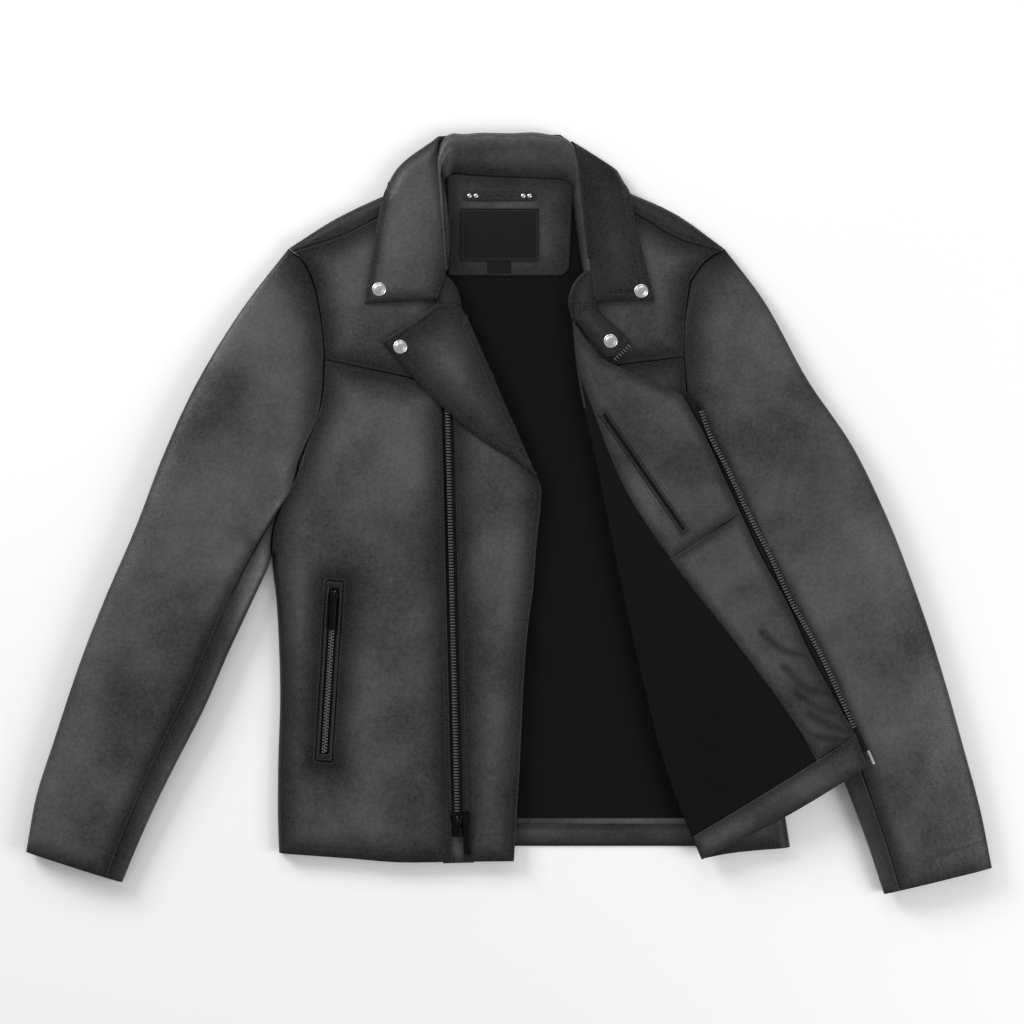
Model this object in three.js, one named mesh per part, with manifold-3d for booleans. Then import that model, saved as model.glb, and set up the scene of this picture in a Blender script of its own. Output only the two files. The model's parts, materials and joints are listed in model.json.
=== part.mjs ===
// A leather jacket lying flat on its back, its left front turned open. Millimetres, +Z up.
// X runs to the viewer's right (the wearer's left), Y towards the collar. Z = 0 is the table.
import * as THREE from 'three';
import { mergeVertices } from 'three/addons/utils/BufferGeometryUtils.js';
import Module from 'manifold-3d';

const wasm = await Module();
wasm.setup();

// ---- Driving dimensions ----
const CHEST_WIDTH = 458;      // armpit to armpit
const BODY_LENGTH = 704;      // collar's fold to the front hem
const LEATHER = 1.4;          // thickness of the shell leather
const LINING = 0.6;           // thickness of the lining cloth
const FACING = 1.2;           // thickness of the inside leather
const GAP = 0.3;              // air between neighbouring pieces
const AIR = 8.5;              // height of the space inside the body
const SLEEVE_DEPTH = 30;      // thickest part of a lying sleeve
const FLAP_TILT = 5.2;        // degrees that the turned-open front rises over the sleeve
const LAPEL = 2.2;            // thickness of a collar leaf or lapel, two leathers
const STANDOFF = 2.4;         // height of a snap stud, between the front and the leaf
const CHAIN_WIDTH = 5;
const CHAIN_DEPTH = 2;
const TAPE_WIDTH = 24;
const TAPE = 0.6;
const ZIP_SLOT = 11;          // gap in the leather where the main chain shows
const SLIDER = { width: 9, length: 13, height: 3 };
const ZIP_BOX = { width: CHAIN_WIDTH + 2, length: 9, height: 3.4 };
const PULL = { width: 7.5, length: 42, height: 1.6 };
const SMALL_CHAIN_DEPTH = 1.6;
const SMALL_SLIDER_WIDTH = 6.4;
const SMALL_PULL_WIDTH = 5.5;
const SMALL_PULL_LENGTH = 34;
const WELT_RISE = 0.8;        // how far the frame stands over the leather
const WELT_WIDTH = 16;        // leather frame of a side pocket
const POCKET_SLOT = 9;        // opening of that frame
const SNAP_RADIUS = 6.6;
const SNAP_HEIGHT = 2;
const RIVET_RADIUS = 2.2;

// ---- Levels, worked out from the thicknesses ----
const BACK_TOP = LEATHER;
const BACK_LINING = BACK_TOP + GAP;
const ROOM = BACK_LINING + LINING;                 // floor of the inside space
const FRONT_LINING = ROOM + AIR;
const FRONT = FRONT_LINING + LINING + GAP;         // underside of the front leather
const FRONT_TOP = FRONT + LEATHER;
const LEAF = FRONT_TOP + 2 * GAP + STANDOFF;       // underside of collar leaves and lapels
const LEAF_TOP = LEAF + LAPEL;

// ---- Pattern points: drawn for the base size, graded to this one ----
const BASE_CHEST = 458;
const BASE_LENGTH = 704;
const at = (x, y) => new THREE.Vector2(x * CHEST_WIDTH / BASE_CHEST, y * BODY_LENGTH / BASE_LENGTH);
const line = (pairs) => pairs.map(([x, y]) => at(x, y));
const SPARE = 1;              // how far a cutting tool runs past what it cuts
const mix = (a, b, t) => a.clone().lerp(b, t);
const reversed = (points) => [...points].reverse();

// ---- Solids ----
const solid = (geometry) => {
  const bare = geometry.index ? geometry.toNonIndexed() : geometry.clone();
  const only = new THREE.BufferGeometry();
  only.setAttribute('position', bare.getAttribute('position'));
  const merged = mergeVertices(only, 1e-4);
  const mesh = { numProp: 3, vertProperties: merged.attributes.position.array };
  mesh.triVerts = new Uint32Array(merged.index.array);
  return new wasm.Manifold(new wasm.Mesh(mesh));
};
const drawn = (manifold) => {
  const mesh = manifold.getMesh();
  const geometry = new THREE.BufferGeometry();
  geometry.setAttribute('position', new THREE.BufferAttribute(new Float32Array(mesh.vertProperties), 3));
  geometry.setIndex(new THREE.BufferAttribute(new Uint32Array(mesh.triVerts), 1));
  return geometry;
};
const joined = (...geometries) => drawn(geometries.map(solid).reduce((a, b) => a.add(b)));
const cut = (whole, ...tools) => drawn(tools.map(solid).reduce((a, b) => a.subtract(b), solid(whole)));

// An outline moved inwards by a distance, its corners mitred.
function inset(points, distance) {
  const ring = THREE.ShapeUtils.area(points) > 0 ? points : reversed(points);
  return ring.map((point, i) => {
    const before = point.clone().sub(ring[(i + ring.length - 1) % ring.length]).normalize();
    const after = ring[(i + 1) % ring.length].clone().sub(point).normalize();
    const side = new THREE.Vector2(-before.y - after.y, before.x + after.x).normalize();
    const reach = Math.max(0.4, side.dot(new THREE.Vector2(-before.y, before.x)));
    return point.clone().addScaledVector(side, distance / reach);
  });
}
// A path moved to its left side.
const beside = (path, distance) => path.map((point, i) => {
  const from = path[Math.max(i - 1, 0)];
  const to = path[Math.min(i + 1, path.length - 1)];
  const along = to.clone().sub(from).normalize();
  return point.clone().add(new THREE.Vector2(-along.y, along.x).multiplyScalar(distance));
});
const slab = (points, low, thickness) =>
  new THREE.ExtrudeGeometry(new THREE.Shape(points), { depth: thickness, bevelEnabled: false })
    .translate(0, 0, low);
const panel = (points, low, thickness) => slab(inset(points, GAP / 2), low, thickness);
const wall = (path, near, far, low, high) =>
  slab([...beside(path, near), ...reversed(beside(path, far))], low, high - low);
const box = (low, high) => new THREE.BoxGeometry(high[0] - low[0], high[1] - low[1], high[2] - low[2])
  .translate((low[0] + high[0]) / 2, (low[1] + high[1]) / 2, (low[2] + high[2]) / 2);
// A straight strip between two points, of a given width.
const strip = (a, b, width, low, thickness) => {
  const along = b.clone().sub(a);
  return new THREE.BoxGeometry(width, along.length(), thickness)
    .rotateZ(Math.atan2(along.y, along.x) - Math.PI / 2)
    .translate((a.x + b.x) / 2, (a.y + b.y) / 2, low + thickness / 2);
};
const profile = (pairs) => pairs.map(([radius, height]) => new THREE.Vector2(radius, height));
const onAxis = (pairs, steps) => new THREE.LatheGeometry(profile(pairs), steps).rotateX(Math.PI / 2);

// ---- Materials ----
const material = (color, roughness, metalness) => new THREE.MeshStandardMaterial({ color, roughness, metalness });
const leather = material(0x3c3c3c, 0.55, 0);
const insideLeather = material(0x333333, 0.6, 0);
const cloth = material(0x141414, 0.9, 0);
const tape = material(0x101010, 0.85, 0);
const gunmetal = material(0x3a3a3c, 0.35, 1);
const silver = material(0xc8c8c8, 0.3, 1);

const jacket = new THREE.Group();
const put = (name, geometry, finish, group = jacket) => {
  const mesh = new THREE.Mesh(geometry, finish);
  mesh.name = name;
  group.add(mesh);
};

// ---- Armholes: the same seam points cut the body and start the sleeve ----
const AROUND = 12;
const shares = Array.from({ length: AROUND + 1 }, (_, i) => (1 - Math.cos(Math.PI * i / AROUND)) / 2);
const armhole = (pairs) => {
  const curve = new THREE.SplineCurve(line(pairs));
  return shares.map((share) => curve.getPointAt(share));
};
const YOKE_AT = 5;            // the seam point where the yoke meets the armhole
const rightArm = armhole([[-213, 257], [-199, 245], [-187.6, 220], [-179.7, 175], [-177.8, 141],
  [-184, 95], [-200.8, 55], [-211, 20], [-222, 4], [-228, -15], [-229.5, -41]]);
const leftArm = armhole([[208, 257], [191, 246], [176, 228], [171, 200], [169.5, 141],
  [177, 95], [196, 55], [210, 20], [221, 4], [227.5, -15], [229, -41]]);

// ---- Body outlines ----
const rightSide = line([[-229.5, -41], [-225.6, -83], [-222, -176], [-224, -250], [-224, -297], [-223, -322]]);
const leftSide = line([[229, -41], [243.5, -132], [258, -229], [272.5, -322]]);
const rightShoulder = line([[-213, 257], [-170, 285], [-119.3, 309.4], [-70, 331]]);
const leftShoulder = line([[208, 257], [161, 291], [118, 310.4], [74, 327]]);
const rightShoulderSeam = [rightArm[1], ...line([[-157.7, 271], [-128, 286], [-70, 316]])];
const leftShoulderSeam = [leftArm[1], ...line([[161, 267], [131, 285], [74, 312]])];

put('back_panel', panel([...rightArm.slice(YOKE_AT), ...rightSide.slice(1), ...reversed(leftSide),
  ...reversed(leftArm.slice(YOKE_AT, AROUND))], 0, LEATHER), leather);

// The yoke wraps over the shoulders to a seam on the front.
const shoulderWall = (path, sign) => wall([mix(path[0], path[1], 0.03), ...path.slice(1)],
  sign * GAP, sign * (GAP + LEATHER), LEATHER / 2, FRONT + LEATHER / 2);
const shoulderStrip = (outer, seam) => panel([...outer, ...reversed(seam)], FRONT, LEATHER);
put('back_yoke', joined(
  panel([...rightArm.slice(0, YOKE_AT + 1), ...reversed(leftArm.slice(0, YOKE_AT + 1)),
    ...leftShoulder.slice(1), at(0, 325), ...reversed(rightShoulder.slice(1))], 0, LEATHER),
  shoulderWall(rightShoulder, -1),
  shoulderWall(leftShoulder, 1),
  shoulderStrip(rightShoulder, rightShoulderSeam),
  shoulderStrip(leftShoulder, leftShoulderSeam)), leather);

// ---- Inside of the back ----
const CLEAR_OF_WALL = LEATHER + 3 * GAP;
put('back_lining', slab(inset([...rightArm.slice(2, 11), ...rightSide.slice(0, -2), at(-224, -297),
  at(268, -297), ...reversed(leftSide.slice(0, -1)), ...reversed(leftArm.slice(2, 11)),
  ...leftShoulderSeam.slice(1), ...reversed(rightShoulderSeam).slice(0, -1)],
  CLEAR_OF_WALL), BACK_LINING, LINING), cloth);
put('back_hem_facing', slab(inset([at(-224, -298), at(-223, -322), at(272.5, -322), at(268.5, -298)],
  CLEAR_OF_WALL), BACK_LINING, FACING), insideLeather);
const NECK = ROOM + GAP;
put('neck_facing', slab(line([[-59, 231], [52, 231], [58, 237], [60, 314], [-59, 318]]), NECK, FACING),
  insideLeather);
const ON_NECK = NECK + FACING + GAP;
const LABEL = 0.8;            // thickness of the maker's patch
const TAB = 0.5;
const labelLow = at(-47, 245);
const labelHigh = at(29, 296);
put('label_patch', box([labelLow.x, labelLow.y, ON_NECK], [labelHigh.x, labelHigh.y, ON_NECK + LABEL]),
  insideLeather);
const tabLow = at(-21, 233);
put('size_tab', box([tabLow.x, tabLow.y, ON_NECK], [at(2, 0).x, labelLow.y - GAP, ON_NECK + TAB]), cloth);
const loopLow = at(-44.6, 303.5);
const loopHigh = at(26.2, 312.3);
const RIVETS = [[-38.3, 308], [-32, 308], [13.8, 308], [20, 308]];
const rivetSeat = ON_NECK + FACING - 0.1;        // sunk so that it is one solid with the strap
const rivets = RIVETS.map(([x, y]) => {
  const place = at(x, y);
  return onAxis([[0, 0], [RIVET_RADIUS, 0], [RIVET_RADIUS * 0.7, 0.8], [0, 1.1]], 12)
    .translate(place.x, place.y, rivetSeat);
});
put('hanger_loop', joined(box([loopLow.x, loopLow.y, ON_NECK], [loopHigh.x, loopHigh.y, ON_NECK + FACING]),
  ...rivets), insideLeather);

// ---- Collar ----
// Each leaf turns about its inner edge, a straight line along the side of the neck.
const rightRoll = line([[-60.4, 235.7], [-68.3, 360.8]]);
const leftRoll = line([[78, 235], [64, 357]]);
const STAND = NECK;
const standPath = (roll) => [roll[0], mix(roll[0], roll[1], 0.93)];
put('collar_stand', joined(
  slab(line([[-69.3, 345], [-69.3, 361], [-40, 366.5], [30, 366.5], [58, 359], [66.5, 352], [67.5, 340], [60, 327],
    [0, 328.5], [-64, 333]]), BACK_LINING, LEATHER),
  wall(standPath(rightRoll), 2 * GAP, 2 * GAP + LEATHER, STAND - GAP, LEAF - GAP),
  wall(standPath(leftRoll), -2 * GAP, -2 * GAP - LEATHER, STAND - GAP, LEAF - GAP)), leather);
put('collar_fall', slab(inset([...line([[-117, 314], [-111.6, 329.8], [-68.3, 366.5], [-40, 368], [50, 368],
  [60.6, 360], [104.8, 332.7], [114, 314]]), ...line([[118, 310.4], [74, 327], [0, 325], [-70, 331],
  [-119.3, 309.4]])], GAP), 0, LEATHER), leather);
const rightLeafEdge = line([[-68.6, 365.8], [-111.6, 329.8], [-118.8, 315.3]]);
const leftLeafEdge = line([[60.6, 361.5], [104.8, 332.7], [112, 320]]);
put('collar_leaf_right', joined(
  slab([...rightRoll, ...rightLeafEdge, ...line([[-124.2, 296.8], [-132.9, 243.5], [-139.7, 203],
    [-69.8, 207]])], LEAF, LAPEL),
  wall(rightLeafEdge, GAP, GAP + LEATHER, BACK_TOP + 2 * GAP, LEAF + 1)), leather);
put('collar_leaf_left', joined(
  slab([...leftRoll, ...leftLeafEdge, ...line([[116.4, 311.4], [120, 293.9], [129, 253.2], [140.4, 205.6],
    [82.5, 205.6]])], LEAF, LAPEL),
  wall(leftLeafEdge, -GAP, -GAP - LEATHER, BACK_TOP + 2 * GAP, LEAF + 1)), leather);

// ---- Right front: a side half on the body, and an edge half that opens about a fold ----
const neckSide = (roll, sign) => beside(roll, sign * (3 * GAP + LEATHER));
const rightNeck = neckSide(rightRoll, 1);
const leftNeck = neckSide(leftRoll, -1);
const below = (point) => new THREE.Vector2(point.x, at(0, 203).y);
const rightFold = line([[-129, 203], [-131.7, 139], [-138, -20], [-152.3, -337.2]]);
const lapelRoll = line([[-45.6, 203], [28.1, 34]]);
put('right_front_yoke_side', panel([...rightArm.slice(1, YOKE_AT + 1), at(-131.7, 139), at(-129, 203),
  below(rightNeck[0]), rightNeck[0], mix(...rightNeck, 0.6), at(-70, 314),
  ...reversed(rightShoulderSeam.slice(1, -1))],
  FRONT, LEATHER), leather);

const zipLow = at(-49.5, -312);
const zipHigh = at(-59.5, 103);
const zipPath = [mix(zipLow, zipHigh, -0.2), zipHigh];      // runs on past the hem
const zipSlot = strip(...zipPath, ZIP_SLOT, FRONT - SPARE, LEATHER + 2 * SPARE);
const pocketRight = line([[-168.8, -72], [-178.8, -232]]);
const pocketLeft = line([[216, -72], [226, -232]]);
const pocketGap = (ends) => strip(ends[0], ends[1], POCKET_SLOT, FRONT - SPARE, LEATHER + 3 * SPARE);
const lengthened = (ends, by) => {
  const along = ends[0].clone().sub(ends[1]).normalize().multiplyScalar(by);
  return [ends[0].clone().add(along), ends[1].clone().sub(along)];
};
const WELT_END = 7;
const weltRight = lengthened(pocketRight, WELT_END);
const weltLeft = lengthened(pocketLeft, WELT_END);
const hole = (ends) => {
  const wider = lengthened(ends, GAP);
  return strip(wider[0], wider[1], WELT_WIDTH + 2 * GAP, FRONT - SPARE, LEATHER + 2 * SPARE);
};
const rightSideFront = line([[-229.5, -41], [-225.6, -83], [-222, -176], [-224, -250], [-224, -297],
  [-223, -328.3]]);
put('right_front_side', cut(joined(
  panel([...rightArm.slice(YOKE_AT), ...rightSideFront.slice(1), at(-152.3, -333.5), at(-138, -20),
    at(-131.7, 139)], FRONT, LEATHER),
  wall(rightSide, GAP, GAP + LEATHER, BACK_TOP + GAP, FRONT + LEATHER / 2)), hole(weltRight)),
leather);

const edgeFront = line([[31, 27.2], [31, 10.7], [27.7, -19.4], [23, -75.7], [19.4, -102.8], [9.7, -258],
  [4.9, -336]]);
put('right_front_yoke_edge', panel([at(-129, 203), at(-131.7, 139), at(-70, 128), lapelRoll[0]
  .clone().lerp(lapelRoll[1], 0.45), lapelRoll[0]], FRONT, LEATHER), leather);
const doorOutline = [at(-131.7, 139), at(-138, -20), at(-152.3, -333.5), at(-105.7, -337), at(4.9, -336),
  ...reversed(edgeFront.slice(0, -1)), lapelRoll[1], mix(lapelRoll[0], lapelRoll[1], 0.45), at(-70, 128)];
const leftOfZip = [...zipPath, at(-59.5, 300), at(-400, 300), at(-400, -500), at(-49.5, -500)];
const middle = solid(panel(doorOutline, FRONT, LEATHER));
const nearZip = solid(slab(leftOfZip, FRONT - SPARE, LEATHER + 2 * SPARE));
const slotTool = solid(zipSlot);
put('right_front_middle', drawn(middle.intersect(nearZip).subtract(slotTool)), leather);
put('right_front_overlap', drawn(middle.subtract(nearZip).subtract(slotTool)
  .subtract(solid(strip(mix(zipLow, zipHigh, 0.8), mix(zipLow, zipHigh, 1.4), GAP, FRONT - SPARE, LEATHER + 2 * SPARE)))),
leather);
put('right_front_lining', slab(inset([at(-131.7, 201), at(-138, -20), at(-150.5, -297), at(-65, -297),
  at(-75, 103), at(-75, 201)], CLEAR_OF_WALL), FRONT_LINING, LINING), cloth);
put('right_front_facing', slab(inset([at(-36, -333), at(3, -333), ...reversed(edgeFront.slice(0, -1)),
  lapelRoll[1], at(-44, 190), at(-44, 108), at(-44, 20)], CLEAR_OF_WALL),
FRONT_LINING - FACING + LINING, FACING), insideLeather);

// ---- Right lapel, turned back on its front ----
const lapelWall = wall([mix(lapelRoll[0], lapelRoll[1], 0.03), mix(lapelRoll[0], lapelRoll[1], 0.97)],
  -GAP, -GAP - LEATHER, FRONT_TOP + GAP, LEAF + 1);
put('right_lapel', joined(
  slab([lapelRoll[0], ...line([[-70.3, 203], [-79.5, 195], [-122.8, 166.5], [-105.7, 146.5], [-66.9, 105.7],
    [-30.1, 73.7], [18.1, 43.2]]), lapelRoll[1]], LEAF, LAPEL),
  lapelWall), leather);

// ---- Main zip on the right front ----
put('main_zip_tape_right', strip(zipLow, zipHigh, TAPE_WIDTH, FRONT - GAP - TAPE, TAPE), tape);
put('main_zip_chain_right', strip(mix(zipLow, zipHigh, 0.06), zipHigh, CHAIN_WIDTH, FRONT, CHAIN_DEPTH),
  gunmetal);
const zipAlong = zipHigh.clone().sub(zipLow).normalize();
const beyond = (from, far) => from.clone().addScaledVector(zipAlong, far);
put('main_zip_box', strip(zipLow, beyond(zipLow, ZIP_BOX.length), ZIP_BOX.width, FRONT, ZIP_BOX.height), gunmetal);
const sliderAt = beyond(zipLow, ZIP_BOX.length + 1);
const CHAIN_CLEAR = FRONT + CHAIN_DEPTH + GAP;
put('main_slider', strip(sliderAt, beyond(sliderAt, SLIDER.length), SLIDER.width, CHAIN_CLEAR, SLIDER.height),
  gunmetal);
const pullAt = beyond(sliderAt, SLIDER.length + 2).add(new THREE.Vector2(SLIDER.width / 2 + 5, 0));
// The pull hangs beside the slider on a bar that crosses over it, and turns about that bar.
const BAR = 1.2;
const BAR_BACK = 2.4;         // from the pull's end to the far side of its bar
const barLow = CHAIN_CLEAR + SLIDER.height + 2 * GAP;
const pullLow = CHAIN_CLEAR + 0.4;
put('main_pull', joined(
  strip(pullAt, beyond(pullAt, -PULL.length), PULL.width, pullLow, PULL.height),
  box([pullAt.x - 10, pullAt.y - BAR_BACK, barLow], [pullAt.x, pullAt.y - BAR_BACK + BAR, barLow + BAR]),
  box([pullAt.x - 2.5, pullAt.y - BAR_BACK, pullLow + 0.6], [pullAt.x + 2.5, pullAt.y - BAR_BACK + BAR, barLow + BAR])),
gunmetal);

// ---- Side pockets: welt frame, chain, slider, and a bag inside ----
function pocket(side, ends, framed, hasPull) {
  put(`${side}_pocket_welt`, cut(strip(framed[0], framed[1], WELT_WIDTH, FRONT, LEATHER + WELT_RISE),
    pocketGap(ends)), leather);
  put(`${side}_pocket_chain`, strip(mix(ends[0], ends[1], 0.01), mix(ends[0], ends[1], 0.99), CHAIN_WIDTH,
    FRONT, SMALL_CHAIN_DEPTH), gunmetal);
  const along = ends[0].clone().sub(ends[1]).normalize();
  const top = ends[0].clone().addScaledVector(along, -2);
  const low = FRONT + SMALL_CHAIN_DEPTH + GAP;
  const end = top.clone().addScaledVector(along, -SLIDER.length);
  put(`${side}_pocket_slider`, strip(top, end, SMALL_SLIDER_WIDTH, low, SLIDER.height), gunmetal);
  if (hasPull) {
    const hinge = top.clone().addScaledVector(along, -4);
    const tip = hinge.clone().addScaledVector(along, -SMALL_PULL_LENGTH);
    put(`${side}_pocket_pull`, strip(hinge, tip, SMALL_PULL_WIDTH, low + SLIDER.height + GAP, PULL.height),
      gunmetal);
  }
}
pocket('right', pocketRight, weltRight, true);
pocket('left', pocketLeft, weltLeft, false);
const BAG = 2.4;               // thickness of an empty pocket bag
const BAG_LEVEL = FRONT - GAP - BAG;
put('right_pocket_bag', slab(line([[-182, -75], [-152, -78], [-154, -225], [-184, -225]]), BAG_LEVEL, BAG), cloth);
put('left_pocket_bag', slab(line([[205, -75], [232, -75], [240, -225], [213, -225]]), BAG_LEVEL, BAG), cloth);

// ---- Left front, the part that still lies on the body ----
const leftFold = line([[61.1, 203], [66, 139], [88.3, 33], [127.1, -149.4], [156, -258], [186.7, -333.7]]);
put('left_front_yoke', panel([...reversed(leftArm.slice(1, YOKE_AT + 1)), ...leftShoulderSeam.slice(1, -1),
  at(74.5, 312), mix(...leftNeck, 0.6), leftNeck[0], below(leftNeck[0]), leftFold[0], leftFold[1]], FRONT,
LEATHER), leather);
const leftHemCorner = at(272.5, -322.7);
put('left_front_side', cut(joined(
  panel([...leftFold.slice(1), at(204, -330), leftHemCorner, ...reversed(leftSide.slice(0, -1)),
    ...reversed(leftArm.slice(YOKE_AT, AROUND))], FRONT, LEATHER),
  wall(leftSide, -GAP, -GAP - LEATHER, BACK_TOP + GAP, FRONT + LEATHER / 2)), hole(weltLeft)), leather);

// ---- Left front, the part turned open: built flat on its fold, then tilted up over the sleeve ----
const HINGE_LOW = at(166.4, -334);
const HINGE_HIGH = at(56.4, 183.3);
const flapFrom = FRONT_TOP + GAP;
const flap = new THREE.Group();
const foldAlong = HINGE_LOW.clone().sub(HINGE_HIGH).normalize();
flap.position.set(HINGE_HIGH.x, HINGE_HIGH.y, flapFrom);
flap.quaternion.setFromAxisAngle(new THREE.Vector3(foldAlong.x, foldAlong.y, 0), FLAP_TILT * Math.PI / 180);
jacket.add(flap);
const onFlap = (name, geometry, finish) =>
  put(name, geometry.translate(-HINGE_HIGH.x, -HINGE_HIGH.y, 0), finish, flap);
const FLAP_OUTER = GAP;
const FLAT_BAG = 0.8;         // thickness of the inner pocket's bag
const FLAP_BAG = FLAP_OUTER + LEATHER + GAP;
const FLAP_INSIDE = FLAP_BAG + FLAT_BAG + GAP;
const flapFold = line([[62, 187], [66, 144.5], [88.3, 33], [127.1, -149.4], [156, -258], [186.7, -333.7]]);
const zipEdge = line([[168, 115], [188, 79.5], [208.5, 34.9], [224, 1.3], [245, -42.7], [266, -79.5],
  [289.5, -131], [318, -182.8], [341, -229.9]]);
onFlap('left_front_outer', panel([...flapFold, at(272.1, -289), at(322.8, -257), ...reversed(zipEdge),
  at(140.7, 126.1), at(114.5, 138.7), at(92.2, 149.4)], FLAP_OUTER, LEATHER), leather);
const facingSeam = line([[82, 97.4], [114.5, 19.4], [156, -43.7], [218.3, -123.2], [270.3, -193.6],
  [298.8, -232.8]]);
const hemEnd = mix(zipEdge[7], zipEdge[8], 0.6);
const slitEnds = line([[90, 99], [171, -18]]);
const SLIT = 9;               // width of the inner pocket's welt
onFlap('left_facing_upper', cut(panel([flapFold[0], flapFold[1], facingSeam[0], facingSeam[1], facingSeam[2],
  ...reversed(zipEdge.slice(0, 4)), at(140.7, 126.1), at(114.5, 138.7), at(92.2, 149.4)],
FLAP_INSIDE, FACING), strip(...lengthened(slitEnds, GAP), SLIT + 2 * GAP, FLAP_INSIDE - SPARE, FACING + 2 * SPARE)),
insideLeather);
onFlap('left_facing_lower', panel([...facingSeam.slice(2, -1), at(297, -230), hemEnd,
  ...reversed(zipEdge.slice(3, -1))], FLAP_INSIDE, FACING), insideLeather);
onFlap('left_hem_facing', panel([at(178, -311.4), flapFold[5], at(272.1, -289), at(322.8, -257),
  zipEdge[8], hemEnd, at(297, -230), at(275.5, -252.2)], FLAP_INSIDE, FACING), insideLeather);
onFlap('left_front_lining', panel([...flapFold.slice(1, -1), at(178, -311.4), at(275.5, -252.2),
  at(297, -230), ...reversed(facingSeam.slice(0, -1))], FLAP_INSIDE, LINING), cloth);
onFlap('inner_pocket_welt', cut(strip(...slitEnds, SLIT, FLAP_INSIDE, FACING + 0.4),
  strip(...lengthened(slitEnds, -4), 2.4, FLAP_INSIDE - SPARE, FACING + 3 * SPARE)), insideLeather);
onFlap('inner_pocket_bag', slab(line([[86, 80], [110, 105], [190, -10], [165, -30]]), FLAP_BAG, FLAT_BAG), cloth);

// ---- Main zip on the left front: tape, chain, pin and stop along the free edge ----
const zipOut = (near, far) => [...beside(zipEdge, near), ...reversed(beside(zipEdge, far))];
onFlap('main_zip_tape_left', slab(zipOut(GAP, 6.4), FLAP_OUTER, TAPE), tape);
onFlap('main_zip_chain_left', slab(zipOut(4, 8.5), FLAP_OUTER + TAPE + GAP, CHAIN_DEPTH),
  gunmetal);
const pinFrom = beside(zipEdge, 6.2)[8].clone().add(at(0.3, -0.8));
onFlap('insertion_pin', strip(pinFrom, pinFrom.clone().add(new THREE.Vector2(5, -12)), 2.4, FLAP_OUTER + TAPE
  + GAP, 1.8), silver);

// ---- Left lapel, rolled back over the top of the open front ----
onFlap('left_lapel', slab(line([[63.5, 203], [79.5, 203], [118, 166.8], [101.5, 151.5], [93.2, 150.2],
  [62.6, 187.4]]), FLAP_OUTER, LAPEL), leather);

// ---- Snaps: a cap on each leaf, a stud on the front beneath it ----
const capProfile = [[0, 0], [SNAP_RADIUS, 0], [SNAP_RADIUS, 0.5], [SNAP_RADIUS * 0.75, 1.5], [0, SNAP_HEIGHT]];
const studProfile = [[0, 0], [SNAP_RADIUS * 0.8, 0], [SNAP_RADIUS * 0.8, 1], [SNAP_RADIUS * 0.45, 1.2],
  [SNAP_RADIUS * 0.45, STANDOFF], [0, STANDOFF]];
const SNAPS = { collar_right: [-125.5, 217], collar_left: [127.7, 215.3], lapel_right: [-105, 161.4] };
for (const [where, [x, y]] of Object.entries(SNAPS)) {
  const place = at(x, y);
  put(`snap_cap_${where}`, onAxis(capProfile, 20).translate(place.x, place.y, LEAF_TOP + GAP), silver);
  put(`snap_stud_${where}`, onAxis(studProfile, 16).translate(place.x, place.y, FRONT_TOP + GAP), silver);
}
const lapelSnap = at(98.5, 167);
onFlap('snap_cap_lapel_left', onAxis(capProfile, 20)
  .translate(lapelSnap.x, lapelSnap.y, FLAP_OUTER + LAPEL + GAP), silver);

// ---- Sleeves: flattened tubes between an outer and an inner edge ----
const DEPTHS = [0.45, 0.66, 0.86, 1, 1, 0.97, 0.93, 0.87, 0.8, 0.74];   // shares of the sleeve's depth
const FADE = [1, 0.6, 0.25, 0, 0, 0, 0, 0, 0, 0];    // how far down the armhole's curve is felt
const FULLNESS = 0.75;         // 1 gives an elliptic section, less a squarer one
const SEAM_STEP = 9;           // where the upper panel ends, in steps over the top from the outer edge
const TURN = 0.004;            // angle that keeps the two panels apart at their seams

function sleevePoint(sleeve, station, phi, depthIn) {
  const [outer, inner] = sleeve.edges[station];
  const width = inner.distanceTo(outer);
  const share = (1 - Math.cos(phi)) / 2;
  const place = mix(outer, inner, (depthIn + (width - 2 * depthIn) * share) / width);
  const step = Math.min(Math.abs((phi > Math.PI ? 2 * Math.PI - phi : phi) / Math.PI * AROUND), AROUND);
  const low = Math.min(Math.floor(step), AROUND - 1);
  const seam = mix(sleeve.arm[low], sleeve.arm[low + 1], step - low);
  const chord = mix(sleeve.edges[0][0], sleeve.edges[0][1], share);
  place.addScaledVector(seam.sub(chord), FADE[station]);
  if (station === 0) place.addScaledVector(sleeve.away, GAP);
  const half = SLEEVE_DEPTH * DEPTHS[station] / 2;
  const height = Math.sign(Math.sin(phi)) * Math.abs(Math.sin(phi)) ** FULLNESS;
  return [place.x, place.y, half + (half - depthIn) * height];
}

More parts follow.
